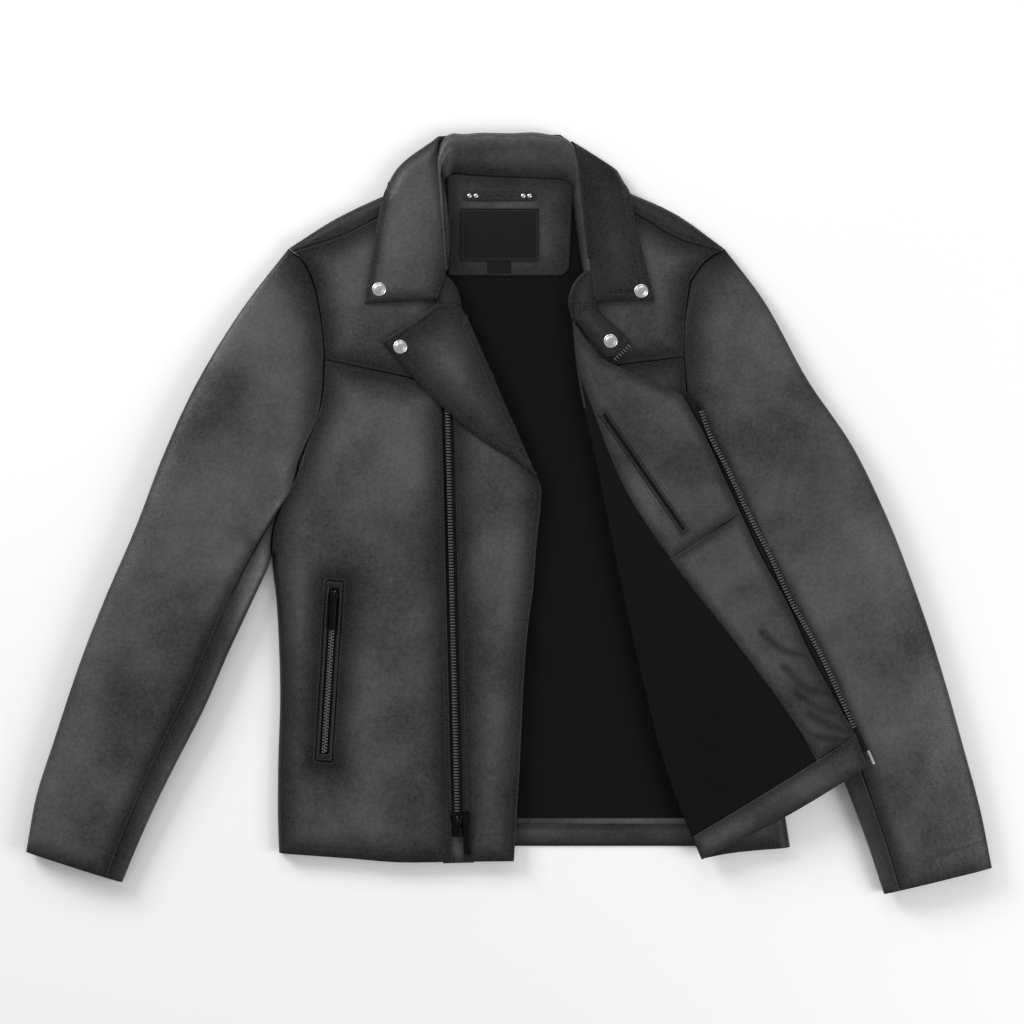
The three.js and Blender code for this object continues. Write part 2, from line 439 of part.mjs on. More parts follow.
// One shell between two depths, over a range of stations and of angles round the section.
function shell(sleeve, stations, angles, depthOut, depthIn) {
  const around = angles.length;
  const closed = angles[around - 1] - angles[0] > 2 * Math.PI - 1e-6;
  const columns = closed ? around - 1 : around;
  const positions = [];
  for (const depthNow of [depthOut, depthIn]) {
    for (const station of stations) {
      for (let j = 0; j < columns; j += 1) positions.push(...sleevePoint(sleeve, station, angles[j], depthNow));
    }
  }
  const id = (layer, i, j) => (layer * stations.length + i) * columns + j % columns;
  const faces = [];
  const quad = (a, b, c, d) => faces.push(a, b, c, a, c, d);
  const last = stations.length - 1;
  const spans = closed ? columns : columns - 1;
  for (let j = 0; j < spans; j += 1) {
    for (let i = 0; i < last; i += 1) {
      quad(id(0, i, j), id(0, i + 1, j), id(0, i + 1, j + 1), id(0, i, j + 1));
      quad(id(1, i, j), id(1, i, j + 1), id(1, i + 1, j + 1), id(1, i + 1, j));
    }
    quad(id(0, 0, j), id(0, 0, j + 1), id(1, 0, j + 1), id(1, 0, j));
    quad(id(0, last, j), id(1, last, j), id(1, last, j + 1), id(0, last, j + 1));
  }
  for (let i = 0; !closed && i < last; i += 1) {
    quad(id(0, i, 0), id(1, i, 0), id(1, i + 1, 0), id(0, i + 1, 0));
    const end = columns - 1;
    quad(id(0, i, end), id(0, i + 1, end), id(1, i + 1, end), id(1, i, end));
  }
  const geometry = new THREE.BufferGeometry();
  geometry.setAttribute('position', new THREE.Float32BufferAttribute(positions, 3));
  geometry.setIndex(sleeve.mirrored ? [...faces].reverse() : faces);
  return geometry;
}

const steps = (from, to) => Array.from({ length: to - from + 1 }, (_, i) => Math.PI * (from + i) / AROUND);
const nudged = (angles) => angles.map((angle, i) => {
  if (i === 0) return angle + TURN;
  return i === angles.length - 1 ? angle - TURN : angle;
});
const CUFF_DEPTH = LEATHER + GAP;
const allStations = DEPTHS.map((_, i) => i);
function sleeveNodes(side, sleeve) {
  const [outer, inner] = sleeve.edges[1];
  sleeve.away = mix(outer, inner, 0.5).sub(mix(sleeve.edges[0][0], sleeve.edges[0][1], 0.5)).normalize();
  put(`${side}_sleeve_upper`, shell(sleeve, allStations, nudged(steps(0, SEAM_STEP)), 0, LEATHER), leather);
  put(`${side}_sleeve_under`, shell(sleeve, allStations, nudged(steps(SEAM_STEP, 2 * AROUND)), 0, LEATHER),
    leather);
  const rings = steps(0, 2 * AROUND);
  put(`${side}_sleeve_lining`, shell(sleeve, allStations.slice(0, -1), rings, CUFF_DEPTH, CUFF_DEPTH + LINING),
    cloth);
}
const pairs = (outer, inner) => line(outer).map((point, i) => [point, line(inner)[i]]);
sleeveNodes('right', {
  arm: rightArm,
  mirrored: false,
  edges: pairs(
    [[-213, 257], [-251, 208], [-300, 130], [-334, 57], [-358, -6], [-391, -83], [-415, -144.5],
      [-441, -222.6], [-457, -272.6], [-467, -326.5]],
    [[-229.5, -41], [-234, -54], [-245, -78], [-258, -106], [-271, -134], [-296, -191], [-322, -241.5],
      [-344.4, -287], [-360, -322], [-374, -356]]),
});
sleeveNodes('left', {
  arm: leftArm,
  mirrored: true,
  edges: pairs(
    [[208, 257], [243.5, 210.5], [289, 129], [331, 67], [360, 8.7], [396, -83.4], [422, -164],
      [440, -228], [455, -283], [467, -342]],
    [[229, -41], [233, -54], [243, -76], [256, -100], [270, -128], [295, -182], [317, -241],
      [333, -282], [347.3, -321], [362.6, -367.5]]),
});

export default jacket;
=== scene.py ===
# %% [markdown]
# A black leather jacket lies flat on its back, its left front turned open. Every piece here takes its place
# from the measured frame: the frame's solids are plain plates, and this script cuts real panels of leather and
# cloth to the same outlines.

# %% Load the frame
import json
import math
import random

import bmesh
import bpy
import numpy as np
from mathutils import Matrix, Vector
from mathutils.bvhtree import BVHTree
from mathutils.geometry import delaunay_2d_cdt


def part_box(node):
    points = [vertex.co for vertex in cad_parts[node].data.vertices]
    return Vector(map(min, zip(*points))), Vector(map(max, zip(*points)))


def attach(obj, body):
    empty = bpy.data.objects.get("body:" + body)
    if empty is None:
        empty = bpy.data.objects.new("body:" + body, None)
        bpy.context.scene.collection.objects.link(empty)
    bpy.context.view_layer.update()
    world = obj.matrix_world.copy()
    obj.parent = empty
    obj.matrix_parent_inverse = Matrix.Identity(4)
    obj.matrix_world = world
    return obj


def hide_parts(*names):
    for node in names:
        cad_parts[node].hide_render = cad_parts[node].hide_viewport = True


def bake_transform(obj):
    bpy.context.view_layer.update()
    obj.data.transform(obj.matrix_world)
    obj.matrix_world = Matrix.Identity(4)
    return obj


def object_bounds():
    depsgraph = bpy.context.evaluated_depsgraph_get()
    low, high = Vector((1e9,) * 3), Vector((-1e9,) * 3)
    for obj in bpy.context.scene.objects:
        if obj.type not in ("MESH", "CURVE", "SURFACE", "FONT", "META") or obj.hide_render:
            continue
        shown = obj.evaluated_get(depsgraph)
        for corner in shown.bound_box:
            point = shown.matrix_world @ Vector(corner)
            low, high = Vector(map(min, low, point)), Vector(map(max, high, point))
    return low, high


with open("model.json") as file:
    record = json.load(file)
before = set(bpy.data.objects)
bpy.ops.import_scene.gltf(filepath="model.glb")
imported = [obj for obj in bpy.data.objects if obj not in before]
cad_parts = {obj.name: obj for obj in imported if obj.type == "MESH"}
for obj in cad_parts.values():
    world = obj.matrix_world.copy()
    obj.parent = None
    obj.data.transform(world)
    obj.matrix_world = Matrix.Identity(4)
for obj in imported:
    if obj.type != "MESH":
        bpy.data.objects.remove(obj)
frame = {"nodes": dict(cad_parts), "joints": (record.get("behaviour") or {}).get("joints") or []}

cad_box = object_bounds()
MM = 0.001

# %% [markdown]
# The camera hangs straight over the jacket with a long lens, as for a catalogue picture of clothes laid flat.
# A long lens keeps the sleeves from leaning outwards. It could also be an orthographic camera, but a real lens
# still shows a little of the collar's depth.

# %% Camera
SENSOR, LENS = 36.0, 150.0
SEEN = 0.993  # metres of floor across the view
OFF_RIGHT, OFF_UP = 0.0029, 0.0018  # how far the view's middle lies from the jacket's
centre = [(low + high) / 2 for low, high in zip(*cad_box)]
camera = bpy.data.objects.new("overhead_camera", bpy.data.cameras.new("overhead_camera"))
camera.data.sensor_width, camera.data.lens = SENSOR, LENS
camera.location = (centre[0] + OFF_RIGHT, centre[1] + OFF_UP, SEEN * LENS / SENSOR)
bpy.context.scene.collection.objects.link(camera)
bpy.context.scene.camera = camera
print("camera height", round(camera.location.z, 3), "m")

# %% [markdown]
# The floor is a pale studio sheet, one large square just under the jacket. It is staging, not part of the object.

# %% Floor
def paint_plain(name, colour, roughness):
    material = bpy.data.materials.new(name)
    material.use_nodes = True
    shader = material.node_tree.nodes["Principled BSDF"]
    shader.inputs["Base Color"].default_value = (*colour, 1)
    shader.inputs["Roughness"].default_value = roughness
    shader.inputs["Specular IOR Level"].default_value = 0.1
    return material

floor_mesh = bpy.data.meshes.new("studio_floor")
HALF_FLOOR, BELOW = 4.0, -0.0003
floor_mesh.from_pydata([(-HALF_FLOOR, -HALF_FLOOR, BELOW), (HALF_FLOOR, -HALF_FLOOR, BELOW),
        (HALF_FLOOR, HALF_FLOOR, BELOW), (-HALF_FLOOR, HALF_FLOOR, BELOW)], [], [(0, 1, 2, 3)])
floor = bpy.data.objects.new("studio_floor", floor_mesh)
floor.data.materials.append(paint_plain("pale_floor", (0.93, 0.93, 0.935), 0.9))
bpy.context.scene.collection.objects.link(floor)
print("floor", 2 * HALF_FLOOR, "m wide")

# %% [markdown]
# Leather is mostly seen by what it reflects, so the light matters more than its colour: one wide soft box at the
# upper left rolls a highlight over each fold, weaker ones fill from the right and from behind, and a pale
# surround keeps the shadows open. Hard lamps would draw sharp black shadows instead.

# %% Light
SURROUND = 0.42  # brightness of the pale room
surround = bpy.data.worlds.new("pale_surround")
surround.use_nodes = True
surround.node_tree.nodes["Background"].inputs["Color"].default_value = (1, 1, 1, 1)
surround.node_tree.nodes["Background"].inputs["Strength"].default_value = SURROUND
bpy.context.scene.world = surround
bpy.context.scene.view_settings.view_transform = "Standard"

def soft_box(name, place, size, watts):
    lamp = bpy.data.lights.new(name, "AREA")
    lamp.size, lamp.energy = size, watts
    holder = bpy.data.objects.new(name, lamp)
    holder.location = place
    holder.rotation_euler = (Vector((0, 0, 0)) - Vector(place)).to_track_quat("-Z", "Y").to_euler()
    bpy.context.scene.collection.objects.link(holder)
    return holder

soft_box("key_soft_box", (-1.9, 1.6, 1.35), 1.2, 52)
soft_box("fill_soft_box", (2.0, -0.7, 1.5), 1.3, 30)
soft_box("top_soft_box", (0.1, 2.2, 1.6), 1.2, 11)

# %% [markdown]
# A panel starts as an outline. Each flat solid of the frame has one large face, and the rim of that face is the
# pattern piece. The turned-open front lies on a slope, so its solids are first laid level by a matrix, and the
# finished piece is tipped back by the same matrix. All work on patterns is in millimetres.

# %% Outlines from the frame
LEVEL = Matrix.Identity(4)

def outlines(node, lay=LEVEL, at_height=None):
    """The rims of a solid's largest upward face, or of those at one height, the largest first."""
    solid = bmesh.new()
    solid.from_mesh(frame["nodes"][node].data)
    bmesh.ops.scale(solid, vec=(1 / MM,) * 3, verts=solid.verts)
    bmesh.ops.transform(solid, matrix=lay.inverted(), verts=solid.verts)
    bmesh.ops.remove_doubles(solid, verts=solid.verts, dist=1e-3)
    solid.normal_update()
    heights = {}
    for face in solid.faces:
        if face.normal.z > 0.999:
            height = round(face.calc_center_median().z, 1)
            heights.setdefault(height, []).append(face)
    if at_height is None:
        at_height = max(heights, key=lambda h: sum(f.calc_area() for f in heights[h]))
    chosen = {f for h in heights if abs(h - at_height) < 0.15 for f in heights[h]}
    after = {}
    for face in chosen:
        for loop in face.loops:
            if not any(other in chosen and other is not face for other in loop.edge.link_faces):
                after[loop.vert.index] = loop.link_loop_next.vert.index
    place = {v.index: (v.co.x, v.co.y) for v in solid.verts}
    solid.free()
    rims = []
    while after:
        start = next(iter(after))
        rim, now = [], start
        while now in after:
            rim.append(place[now])
            now = after.pop(now)
        rims.append(np.array(rim))
    return sorted(rims, key=lambda rim: -abs(signed_area(rim)))

def signed_area(rim):
    x, y = rim[:, 0], rim[:, 1]
    return float(np.sum(x * np.roll(y, -1) - y * np.roll(x, -1)) / 2)

def top_of(node):
    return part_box(node)[1][2] / MM

print("the back has", len(outlines("back_panel")[0]), "corner points")

# %% [markdown]
# Cut leather has long fair curves, while the solids have a few straight steps. Between real corners, each run
# of points becomes a smooth curve, and a corner stays sharp.

# %% Curves
SHARP = math.radians(26)  # a larger turn than this is a real corner

def curve(points, knots, fine):
    """A smooth curve through points at their knots, read at finer places."""
    if len(points) > 2:
        slopes = np.gradient(points, knots, axis=0)
    else:
        slopes = np.repeat((points[1:] - points[:1]) / (knots[-1] - knots[0]), 2, axis=0)
    seg = np.clip(np.searchsorted(knots, fine, side="right") - 1, 0, len(points) - 2)
    span = (knots[seg + 1] - knots[seg])[:, None]
    t = (fine - knots[seg])[:, None] / span
    return ((2 * t**3 - 3 * t**2 + 1) * points[seg] + (t**3 - 2 * t**2 + t) * span * slopes[seg]
            + (3 * t**2 - 2 * t**3) * points[seg + 1] + (t**3 - t**2) * span * slopes[seg + 1])

def lengths(points):
    return np.concatenate([[0], np.cumsum(np.linalg.norm(np.diff(points, axis=0), axis=1))])

def flowing(points, step):
    """A smooth curve through the points of an open path, in even steps."""
    points = np.asarray(points, float)
    knots = lengths(points)
    return curve(points, knots, np.linspace(0, knots[-1], max(int(round(knots[-1] / step)), 1) + 1))

def fair(rim, step=3.0):
    """A closed rim with smooth runs between its corners, turning to the left."""
    rim = rim if signed_area(rim) > 0 else rim[::-1]
    before, behind = rim - np.roll(rim, 1, axis=0), np.roll(rim, -1, axis=0) - rim
    turn = np.abs((np.arctan2(behind[:, 1], behind[:, 0]) - np.arctan2(before[:, 1], before[:, 0]) + math.pi)
                  % (2 * math.pi) - math.pi)
    corners = [i for i in range(len(rim)) if turn[i] > SHARP] or [0]
    runs = []
    for n, start in enumerate(corners):
        end = corners[(n + 1) % len(corners)]
        count = (end - start) % len(rim) or len(rim)
        run = rim[[(start + k) % len(rim) for k in range(count + 1)]]
        runs.append(flowing(run, step)[:-1])
    return np.concatenate(runs)

print("the back's fair rim has", len(fair(outlines("back_panel")[0])), "points")

# %% [markdown]
# The distance from a point to a line later shapes every edge, groove and fold, and an inset rim tells where a
# row of stitches runs. A ray that crosses a rim an odd number of times started inside it.

# %% Distances and insets
def distance(points, path, closed=False):
    """How far each point is from a path."""
    path = np.asarray(path, float)
    ends = np.concatenate([path[1:], path[:1]]) if closed else path[1:]
    starts = path if closed else path[:-1]
    best = np.full(len(points), 1e9)
    for a, b in zip(starts, ends):
        ab = b - a
        t = np.clip(((points - a) @ ab) / max(ab @ ab, 1e-9), 0, 1)
        gap = points - a - t[:, None] * ab
        best = np.minimum(best, np.einsum("ij,ij->i", gap, gap))
    return np.sqrt(best)

def inside(points, rims):
    """Whether each point lies within the rims, where a second rim is a hole."""
    found = np.zeros(len(points), bool)
    for rim in rims:
        for a, b in zip(rim, np.roll(rim, -1, axis=0)):
            crosses = (a[1] > points[:, 1]) != (b[1] > points[:, 1])
            if crosses.any():
                x = a[0] + (points[:, 1] - a[1]) * (b[0] - a[0]) / ((b[1] - a[1]) or 1e-12)
                found ^= crosses & (points[:, 0] < x)
    return found

def beside(path, far):
    """A path moved to its left."""
    path = np.asarray(path, float)
    way = np.gradient(path, axis=0)
    way /= np.linalg.norm(way, axis=1)[:, None]
    return path + far * np.stack([-way[:, 1], way[:, 0]], axis=1)

def inset(rim, far):
    """A rim moved inwards, or outwards for a negative distance."""
    way = np.roll(rim, -1, axis=0) - np.roll(rim, 1, axis=0)
    way /= np.maximum(np.linalg.norm(way, axis=1), 1e-9)[:, None]
    return rim + far * np.stack([-way[:, 1], way[:, 0]], axis=1)

print("a point 3 beside a line is", distance(np.array([[5.0, 3.0]]), [(0, 0), (10, 0)])[0], "from it")

# %% [markdown]
# A pattern piece is filled with triangles that keep its rim. Where the frame splits one real panel into two
# neighbours, both are grown until they overlap, filled together, and the rim round the whole is taken back in.

# %% Triangles and joined outlines
def cells(points, edges, rims):
    """Triangles between points that respect the edges and lie within the rims."""
    made = delaunay_2d_cdt([Vector(p) for p in points], edges, [], 0, 1e-4)
    spots = np.array([tuple(v) for v in made[0]])
    faces = [list(f) for f in made[2]]
    middle = np.array([spots[f].mean(axis=0) for f in faces])
    within = np.zeros(len(faces), bool)
    for group in rims:
        within |= inside(middle, group)
    return spots, [f for f, keep in zip(faces, within) if keep]

GROWN, APART = 0.5, 2.0  # how far neighbours grow, and the least step between points of their rim

def united(*rims):
    """One rim round neighbours whose borders run close together."""
    grown = [inset(fair(rim, 6.0), -GROWN) for rim in rims]
    edges, count = [], 0
    for rim in grown:
        edges += [(count + i, count + (i + 1) % len(rim)) for i in range(len(rim))]
        count += len(rim)
    spots, faces = cells(np.concatenate(grown), edges, [[rim] for rim in grown])
    sides = {}  # a dictionary keeps their order
    for face in faces:
        for a, b in zip(face, face[1:] + face[:1]):
            sides[(a, b)] = True
    after = {a: b for a, b in sides if (b, a) not in sides}
    loops = []
    while after:
        start = next(iter(after))
        loop, now = [], start
        while now in after:
            loop.append(spots[now])
            now = after.pop(now)
        loops.append(np.array(loop))
    rim = max(loops, key=lambda r: abs(signed_area(r)))
    spaced = [rim[0]]
    for point in rim[1:]:
        if np.linalg.norm(point - spaced[-1]) > APART:
            spaced.append(point)
    return inset(np.array(spaced), GROWN)

print("outline helpers ready")

# %% [markdown]
# A sheet's height decides how it looks. Leather never ends in a knife edge: it is turned under, so its rim
# rolls down, and a row of stitches presses it. A surface is therefore one level minus the roll of its edges,
# minus pressed lines, plus folds that fade at both ends, plus a slow waviness. Sculpting by hand could do the
# same, but these few numbers keep neighbouring pieces in step.

# %% A surface's height
def waves(points, size, seed):
    """A slow waviness between about -1 and 1."""
    chance = random.Random(seed)
    total = np.zeros(len(points))
    for _ in range(6):
        angle, phase = chance.uniform(0, math.tau), chance.uniform(0, math.tau)
        length = size * chance.uniform(0.7, 1.6)
        total += np.sin((points[:, 0] * math.cos(angle) + points[:, 1] * math.sin(angle)) * math.tau / length
                        + phase)
    return total / 3

SOFTNESS = 1.6  # how far every fold stands up, against the drawn one
ENDS_FADE = 0.3  # the share of its length over which a fold dies away

def ridge(points, path, width, rise):
    """A fold along a path, which fades at its ends."""
    path = flowing(path, 4.0)
    reach = distance(points, path)
    ends = np.minimum(np.linalg.norm(points - path[0], axis=1), np.linalg.norm(points - path[-1], axis=1))
    length = np.linalg.norm(path[-1] - path[0])
    return SOFTNESS * rise * np.exp(-(reach / width) ** 2) * np.clip(ends / (ENDS_FADE * length), 0, 1)

def surface(level, edges=(), folds=(), pressed=(), wavy=0.0, size=90.0, seed=1):
    """A function that gives the height of each point. Edges are (path, reach, drop), folds are (path, width,
    rise) and pressed lines are (path, width, depth), in millimetres."""
    def height(points):
        points = np.asarray(points, float)
        z = np.full(len(points), float(level))
        fall = np.zeros(len(points))
        for path, reach, drop in edges:
            near = np.clip(distance(points, path) / reach, 0, 1)
            fall = np.maximum(fall, drop * (1 - np.sqrt(1 - (1 - near) ** 2)))
        z -= fall
        for path, width, rise in folds:
            z += ridge(points, path, width, rise)
        for path, width, depth in pressed:
            z -= depth * np.exp(-(distance(points, path) / width) ** 2)
        if wavy:
            z += wavy * waves(points, size, seed)
        return z
    return height

def ring(rim):
    return np.concatenate([rim, rim[:1]])

print("waviness at one point:", waves(np.array([[10.0, 20.0]]), 90, 1).round(3))

# %% [markdown]
# Shader node groups hold the effects that several finishes share. Each gives a mask or a height, and the
# Principled shader stays in the finish itself. Hide has small rounded pebbles, wandering crease lines and
# pores; dye sits unevenly, so the tone drifts like a cloud; cloth and tape show crossing threads; metal shows
# fine brushing. They could be image textures, but a pattern from nodes stays sharp at any distance.

# %% Node helpers and shared effects
def effect(name, inputs, outputs):
    """An empty node group with named sockets."""
    group = bpy.data.node_groups.new(name, "ShaderNodeTree")
    for label, value in inputs:
        kind = "NodeSocketVector" if label == "Place" else "NodeSocketFloat"
        socket = group.interface.new_socket(name=label, in_out="INPUT", socket_type=kind)
        if label != "Place":
            socket.default_value = value
    for label in outputs:
        group.interface.new_socket(name=label, in_out="OUTPUT", socket_type="NodeSocketFloat")
    return group, add(group, "NodeGroupInput"), add(group, "NodeGroupOutput")

def add(tree, kind, wired=(), **settings):
    """A node with its settings, and its inputs set or wired."""
    made = tree.nodes.new(kind)
    for label, value in settings.items():
        setattr(made, label, value)
    for socket, value in dict(wired).items():
        if isinstance(value, bpy.types.NodeSocket):
            tree.links.new(value, made.inputs[socket])
        else:
            made.inputs[socket].default_value = value
    return made

def maths(tree, operation, a, b=0.0, c=0.0):
    return add(tree, "ShaderNodeMath", {0: a, 1: b, 2: c}, operation=operation).outputs[0]

def spread(tree, value, low, high, new_low=0.0, new_high=1.0):
    return add(tree, "ShaderNodeMapRange", {0: value, 1: low, 2: high, 3: new_low, 4: new_high},
               interpolation_type="SMOOTHSTEP").outputs[0]

def hide_grain():
    tree, source, result = effect("hide_grain", [("Place", 0), ("Pebble Scale", 750.0), ("Crease Scale", 90.0)],
            ["Height", "Pores"])
    place = source.outputs["Place"]
    pebble = add(tree, "ShaderNodeTexVoronoi", {"Vector": place, "Scale": source.outputs["Pebble Scale"]},
                 feature="SMOOTH_F1")
    wander = add(tree, "ShaderNodeTexNoise", {"Vector": place, "Scale": 35.0, "Detail": 3.0})
    moved = add(tree, "ShaderNodeVectorMath", {0: place, 1: add(tree, "ShaderNodeVectorMath",
                {0: wander.outputs["Color"], "Scale": 0.02}, operation="SCALE").outputs[0]}, operation="ADD")
    crease = add(tree, "ShaderNodeTexVoronoi", {"Vector": moved.outputs[0], "Scale": source.outputs["Crease Scale"]},
                 feature="DISTANCE_TO_EDGE")
    line = spread(tree, crease.outputs["Distance"], 0.0, 0.06)
    domes = maths(tree, "MULTIPLY", pebble.outputs["Distance"], -0.9)
    tree.links.new(maths(tree, "MULTIPLY_ADD", line, 0.35, domes), result.inputs["Height"])
    tree.links.new(spread(tree, pebble.outputs["Distance"], 0.35, 0.7), result.inputs["Pores"])
    return tree

def cloudy_dye():
    tree, source, result = effect("cloudy_dye", [("Place", 0), ("Cloud Scale", 11.0), ("Speckle", 0.85)], ["Tone"])
    place = source.outputs["Place"]
    cloud = add(tree, "ShaderNodeTexNoise", {"Vector": place, "Scale": source.outputs["Cloud Scale"],
            "Detail": 6.0, "Roughness": 0.55})
    fine = add(tree, "ShaderNodeTexNoise", {"Vector": place, "Scale": 260.0, "Detail": 4.0, "Roughness": 0.7})
    broad = spread(tree, cloud.outputs["Fac"], 0.28, 0.72, 0.32, 1.0)
    speck = maths(tree, "SUBTRACT", fine.outputs["Fac"], 0.5)
    tone = maths(tree, "MULTIPLY_ADD", speck, source.outputs["Speckle"], broad)
    tree.links.new(tone, result.inputs["Tone"])
    return tree

def crossing_threads():
    tree, source, result = effect("crossing_threads", [("Place", 0), ("Threads per Metre", 1600.0)],
            ["Height", "Shade"])
    warp = maths(tree, "MULTIPLY", source.outputs["Threads per Metre"], 0.05)
    waves_across = [add(tree, "ShaderNodeTexWave", {"Vector": source.outputs["Place"], "Scale": warp,
                                        "Distortion": 0.4, "Detail": 1.0},
            wave_type="BANDS", bands_direction=way).outputs["Fac"] for way in ("DIAGONAL", "X")]
    both = maths(tree, "MULTIPLY", waves_across[0], waves_across[1])
    tree.links.new(both, result.inputs["Height"])
    tree.links.new(spread(tree, both, 0.0, 0.8, 0.75, 1.15), result.inputs["Shade"])
    return tree

def fine_brushing():
    tree, source, result = effect("fine_brushing", [("Place", 0), ("Strength", 0.2)], ["Height", "Haze"])
    streaks = add(tree, "ShaderNodeMapping", {"Vector": source.outputs["Place"], "Scale": (2500, 250, 2500)})
    noise = add(tree, "ShaderNodeTexNoise", {"Vector": streaks.outputs[0], "Scale": 1.0, "Detail": 2.0})
    haze = maths(tree, "MULTIPLY", noise.outputs["Fac"], source.outputs["Strength"])
    tree.links.new(noise.outputs["Fac"], result.inputs["Height"])
    tree.links.new(haze, result.inputs["Haze"])
    return tree

EFFECTS = {make.__name__: make() for make in (hide_grain, cloudy_dye, crossing_threads, fine_brushing)}
print("shared effects:", sorted(EFFECTS))

# %% [markdown]
# The finishes. Shell leather is a black hide with painted light: its colour is painted lighter on the middle of
# each panel, a painted highlight, and darker along its seams, a painted shade where the leather turns from the
# light. Each panel carries the distance to its own seam as a mesh attribute, and the finish reads that to paint
# the shade along the borders. Facing leather is the same hide with a narrower, paler band of painted shade, the
# lining a dull black cloth, and the metals are plated and brushed.

# %% Parts of a finish
def blank(name, roughness=0.5, specular=0.5, metallic=0.0):
    material = bpy.data.materials.new(name)
    material.use_nodes = True
    shader = material.node_tree.nodes["Principled BSDF"]
    shader.inputs["Roughness"].default_value = roughness
    shader.inputs["Specular IOR Level"].default_value = specular
    shader.inputs["Metallic"].default_value = metallic
    place = add(material.node_tree, "ShaderNodeTexCoord").outputs["Object"]
    return material, material.node_tree, shader, place

def placed(tree, name, place, **values):
    made = add(tree, "ShaderNodeGroup")
    made.node_tree = EFFECTS[name]
    tree.links.new(place, made.inputs["Place"])
    for label, value in values.items():
        made.inputs[label.replace("_", " ")].default_value = value
    return made

def between(tree, share, dark, light):
    made = add(tree, "ShaderNodeMix", data_type="RGBA")
    tree.links.new(share, made.inputs[0])
    made.inputs[6].default_value, made.inputs[7].default_value = (*dark, 1), (*light, 1)
    return made.outputs[2]

def bumped(tree, shader, height, depth):
    bump = add(tree, "ShaderNodeBump", {"Height": height, "Distance": depth, "Strength": 1.0})
    tree.links.new(bump.outputs[0], shader.inputs["Normal"])

print("finish helpers ready")

# %% [markdown]
# A hide mixes a dark and a light colour by its cloudy tone, its pores and the painted shade near its seams, a
# cloth by its threads, and a metal by its brushing. The same pattern bumps the surface, so that light and colour
# agree.

# %% Hide, cloth and metal
HIDE_SHINE = 0.26  # dyed hide reflects less than plastic does
PORE_DEPTH = -0.12  # how much darker a pore is

def hide(name, dark, light, seam_shade_reach, cloud, roughness, depth, shaded_seam_share=0.35):
    material, tree, shader, place = blank(name, specular=HIDE_SHINE)
    grain = placed(tree, "hide_grain", place)
    dye = placed(tree, "cloudy_dye", place, Cloud_Scale=cloud)
    # painted shade: the colour darkens towards each seam, and a panel's middle is painted lighter, as if lit
    seam = add(tree, "ShaderNodeAttribute", attribute_name="from_seam").outputs["Fac"]
    middle = spread(tree, seam, 0.0, seam_shade_reach, shaded_seam_share, 1.0)
    painted_light = maths(tree, "MULTIPLY", dye.outputs["Tone"], middle)
    painted_light = maths(tree, "MULTIPLY_ADD", grain.outputs["Pores"], PORE_DEPTH, painted_light)
    held = add(tree, "ShaderNodeClamp", {"Value": painted_light}).outputs[0]
    tree.links.new(between(tree, held, dark, light), shader.inputs["Base Color"])
    tree.links.new(spread(tree, held, 0.0, 1.0, roughness[0], roughness[1]), shader.inputs["Roughness"])
    bumped(tree, shader, grain.outputs["Height"], depth)
    return material

def cloth(name, colour, threads, depth, specular=0.12, sheen=0.0):
    material, tree, shader, place = blank(name, 0.85, specular)
    shader.inputs["Sheen Weight"].default_value = sheen
    weave = placed(tree, "crossing_threads", place, Threads_per_Metre=threads)
    shade = maths(tree, "MULTIPLY", weave.outputs["Shade"], 0.8)
    tree.links.new(between(tree, shade, [c * 0.45 for c in colour], colour), shader.inputs["Base Color"])
    bumped(tree, shader, weave.outputs["Height"], depth)
    return material

def metal(name, colour, roughness, strength, specular=0.5):
    material, tree, shader, place = blank(name, roughness, specular, 1.0)
    brushed = placed(tree, "fine_brushing", place, Strength=strength)
    tree.links.new(maths(tree, "ADD", brushed.outputs["Haze"], roughness), shader.inputs["Roughness"])
    tree.links.new(between(tree, brushed.outputs["Height"], [c * 0.8 for c in colour], colour),
                   shader.inputs["Base Color"])
    bumped(tree, shader, brushed.outputs["Height"], 0.00002)
    return material

print("hide, cloth and metal ready")

# %% [markdown]
# Every finish of the jacket. Blacks differ: the hide is a charcoal where it is painted light, the lining is the
# darkest.

# %% Finishes
INK = (0.0022, 0.0022, 0.0024)
FINISH = {
    "shell": hide("shell_leather", INK, (0.088, 0.088, 0.089), seam_shade_reach=30.0, cloud=9.0,
                  roughness=(0.5, 0.33), depth=0.00018, shaded_seam_share=0.14),
    "facing": hide("facing_leather", INK, (0.074, 0.074, 0.075), seam_shade_reach=12.0, cloud=13.0,
                   roughness=(0.48, 0.36), depth=0.00016, shaded_seam_share=0.3),
    "patch": hide("patch_leather", (0.0016, 0.0016, 0.0016), (0.009, 0.0088, 0.0086), seam_shade_reach=4.0, cloud=40.0,
                  roughness=(0.4, 0.3), depth=0.0001),
    "lining": cloth("lining_cloth", (0.0052, 0.0052, 0.0054), 1500.0, 0.00005, 0.1),
    "tape": cloth("zip_tape_cloth", (0.006, 0.006, 0.0062), 1100.0, 0.00012, 0.2),
    "thread": cloth("sewing_thread", (0.045, 0.045, 0.045), 2600.0, 0.00004, 0.4),
    "teeth": metal("dark_zip_metal", (0.2, 0.2, 0.205), 0.24, 0.12),
    "pull": metal("black_enamel_metal", (0.016, 0.016, 0.017), 0.1, 0.08),
    "silver": metal("satin_nickel", (0.72, 0.72, 0.73), 0.22, 0.2),
}
print("finishes:", sorted(FINISH))

# %% [markdown]
# A piece follows its body. Where it crosses a fold, a blend between two bodies is given, but the piece is only
# fixed in place. It gets its finish, and the frame's solids that it takes the place of are hidden.

# %% Hold a piece
def hold(piece, how, nodes=()):
    """The piece follows one body; for two bodies and two points no blend is made, and the piece is only fixed in
    place.
    """
    if isinstance(how, str):
        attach(piece, how)
    else:
        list(how)
        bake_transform(piece)
    if nodes:
        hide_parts(*nodes)
    return piece

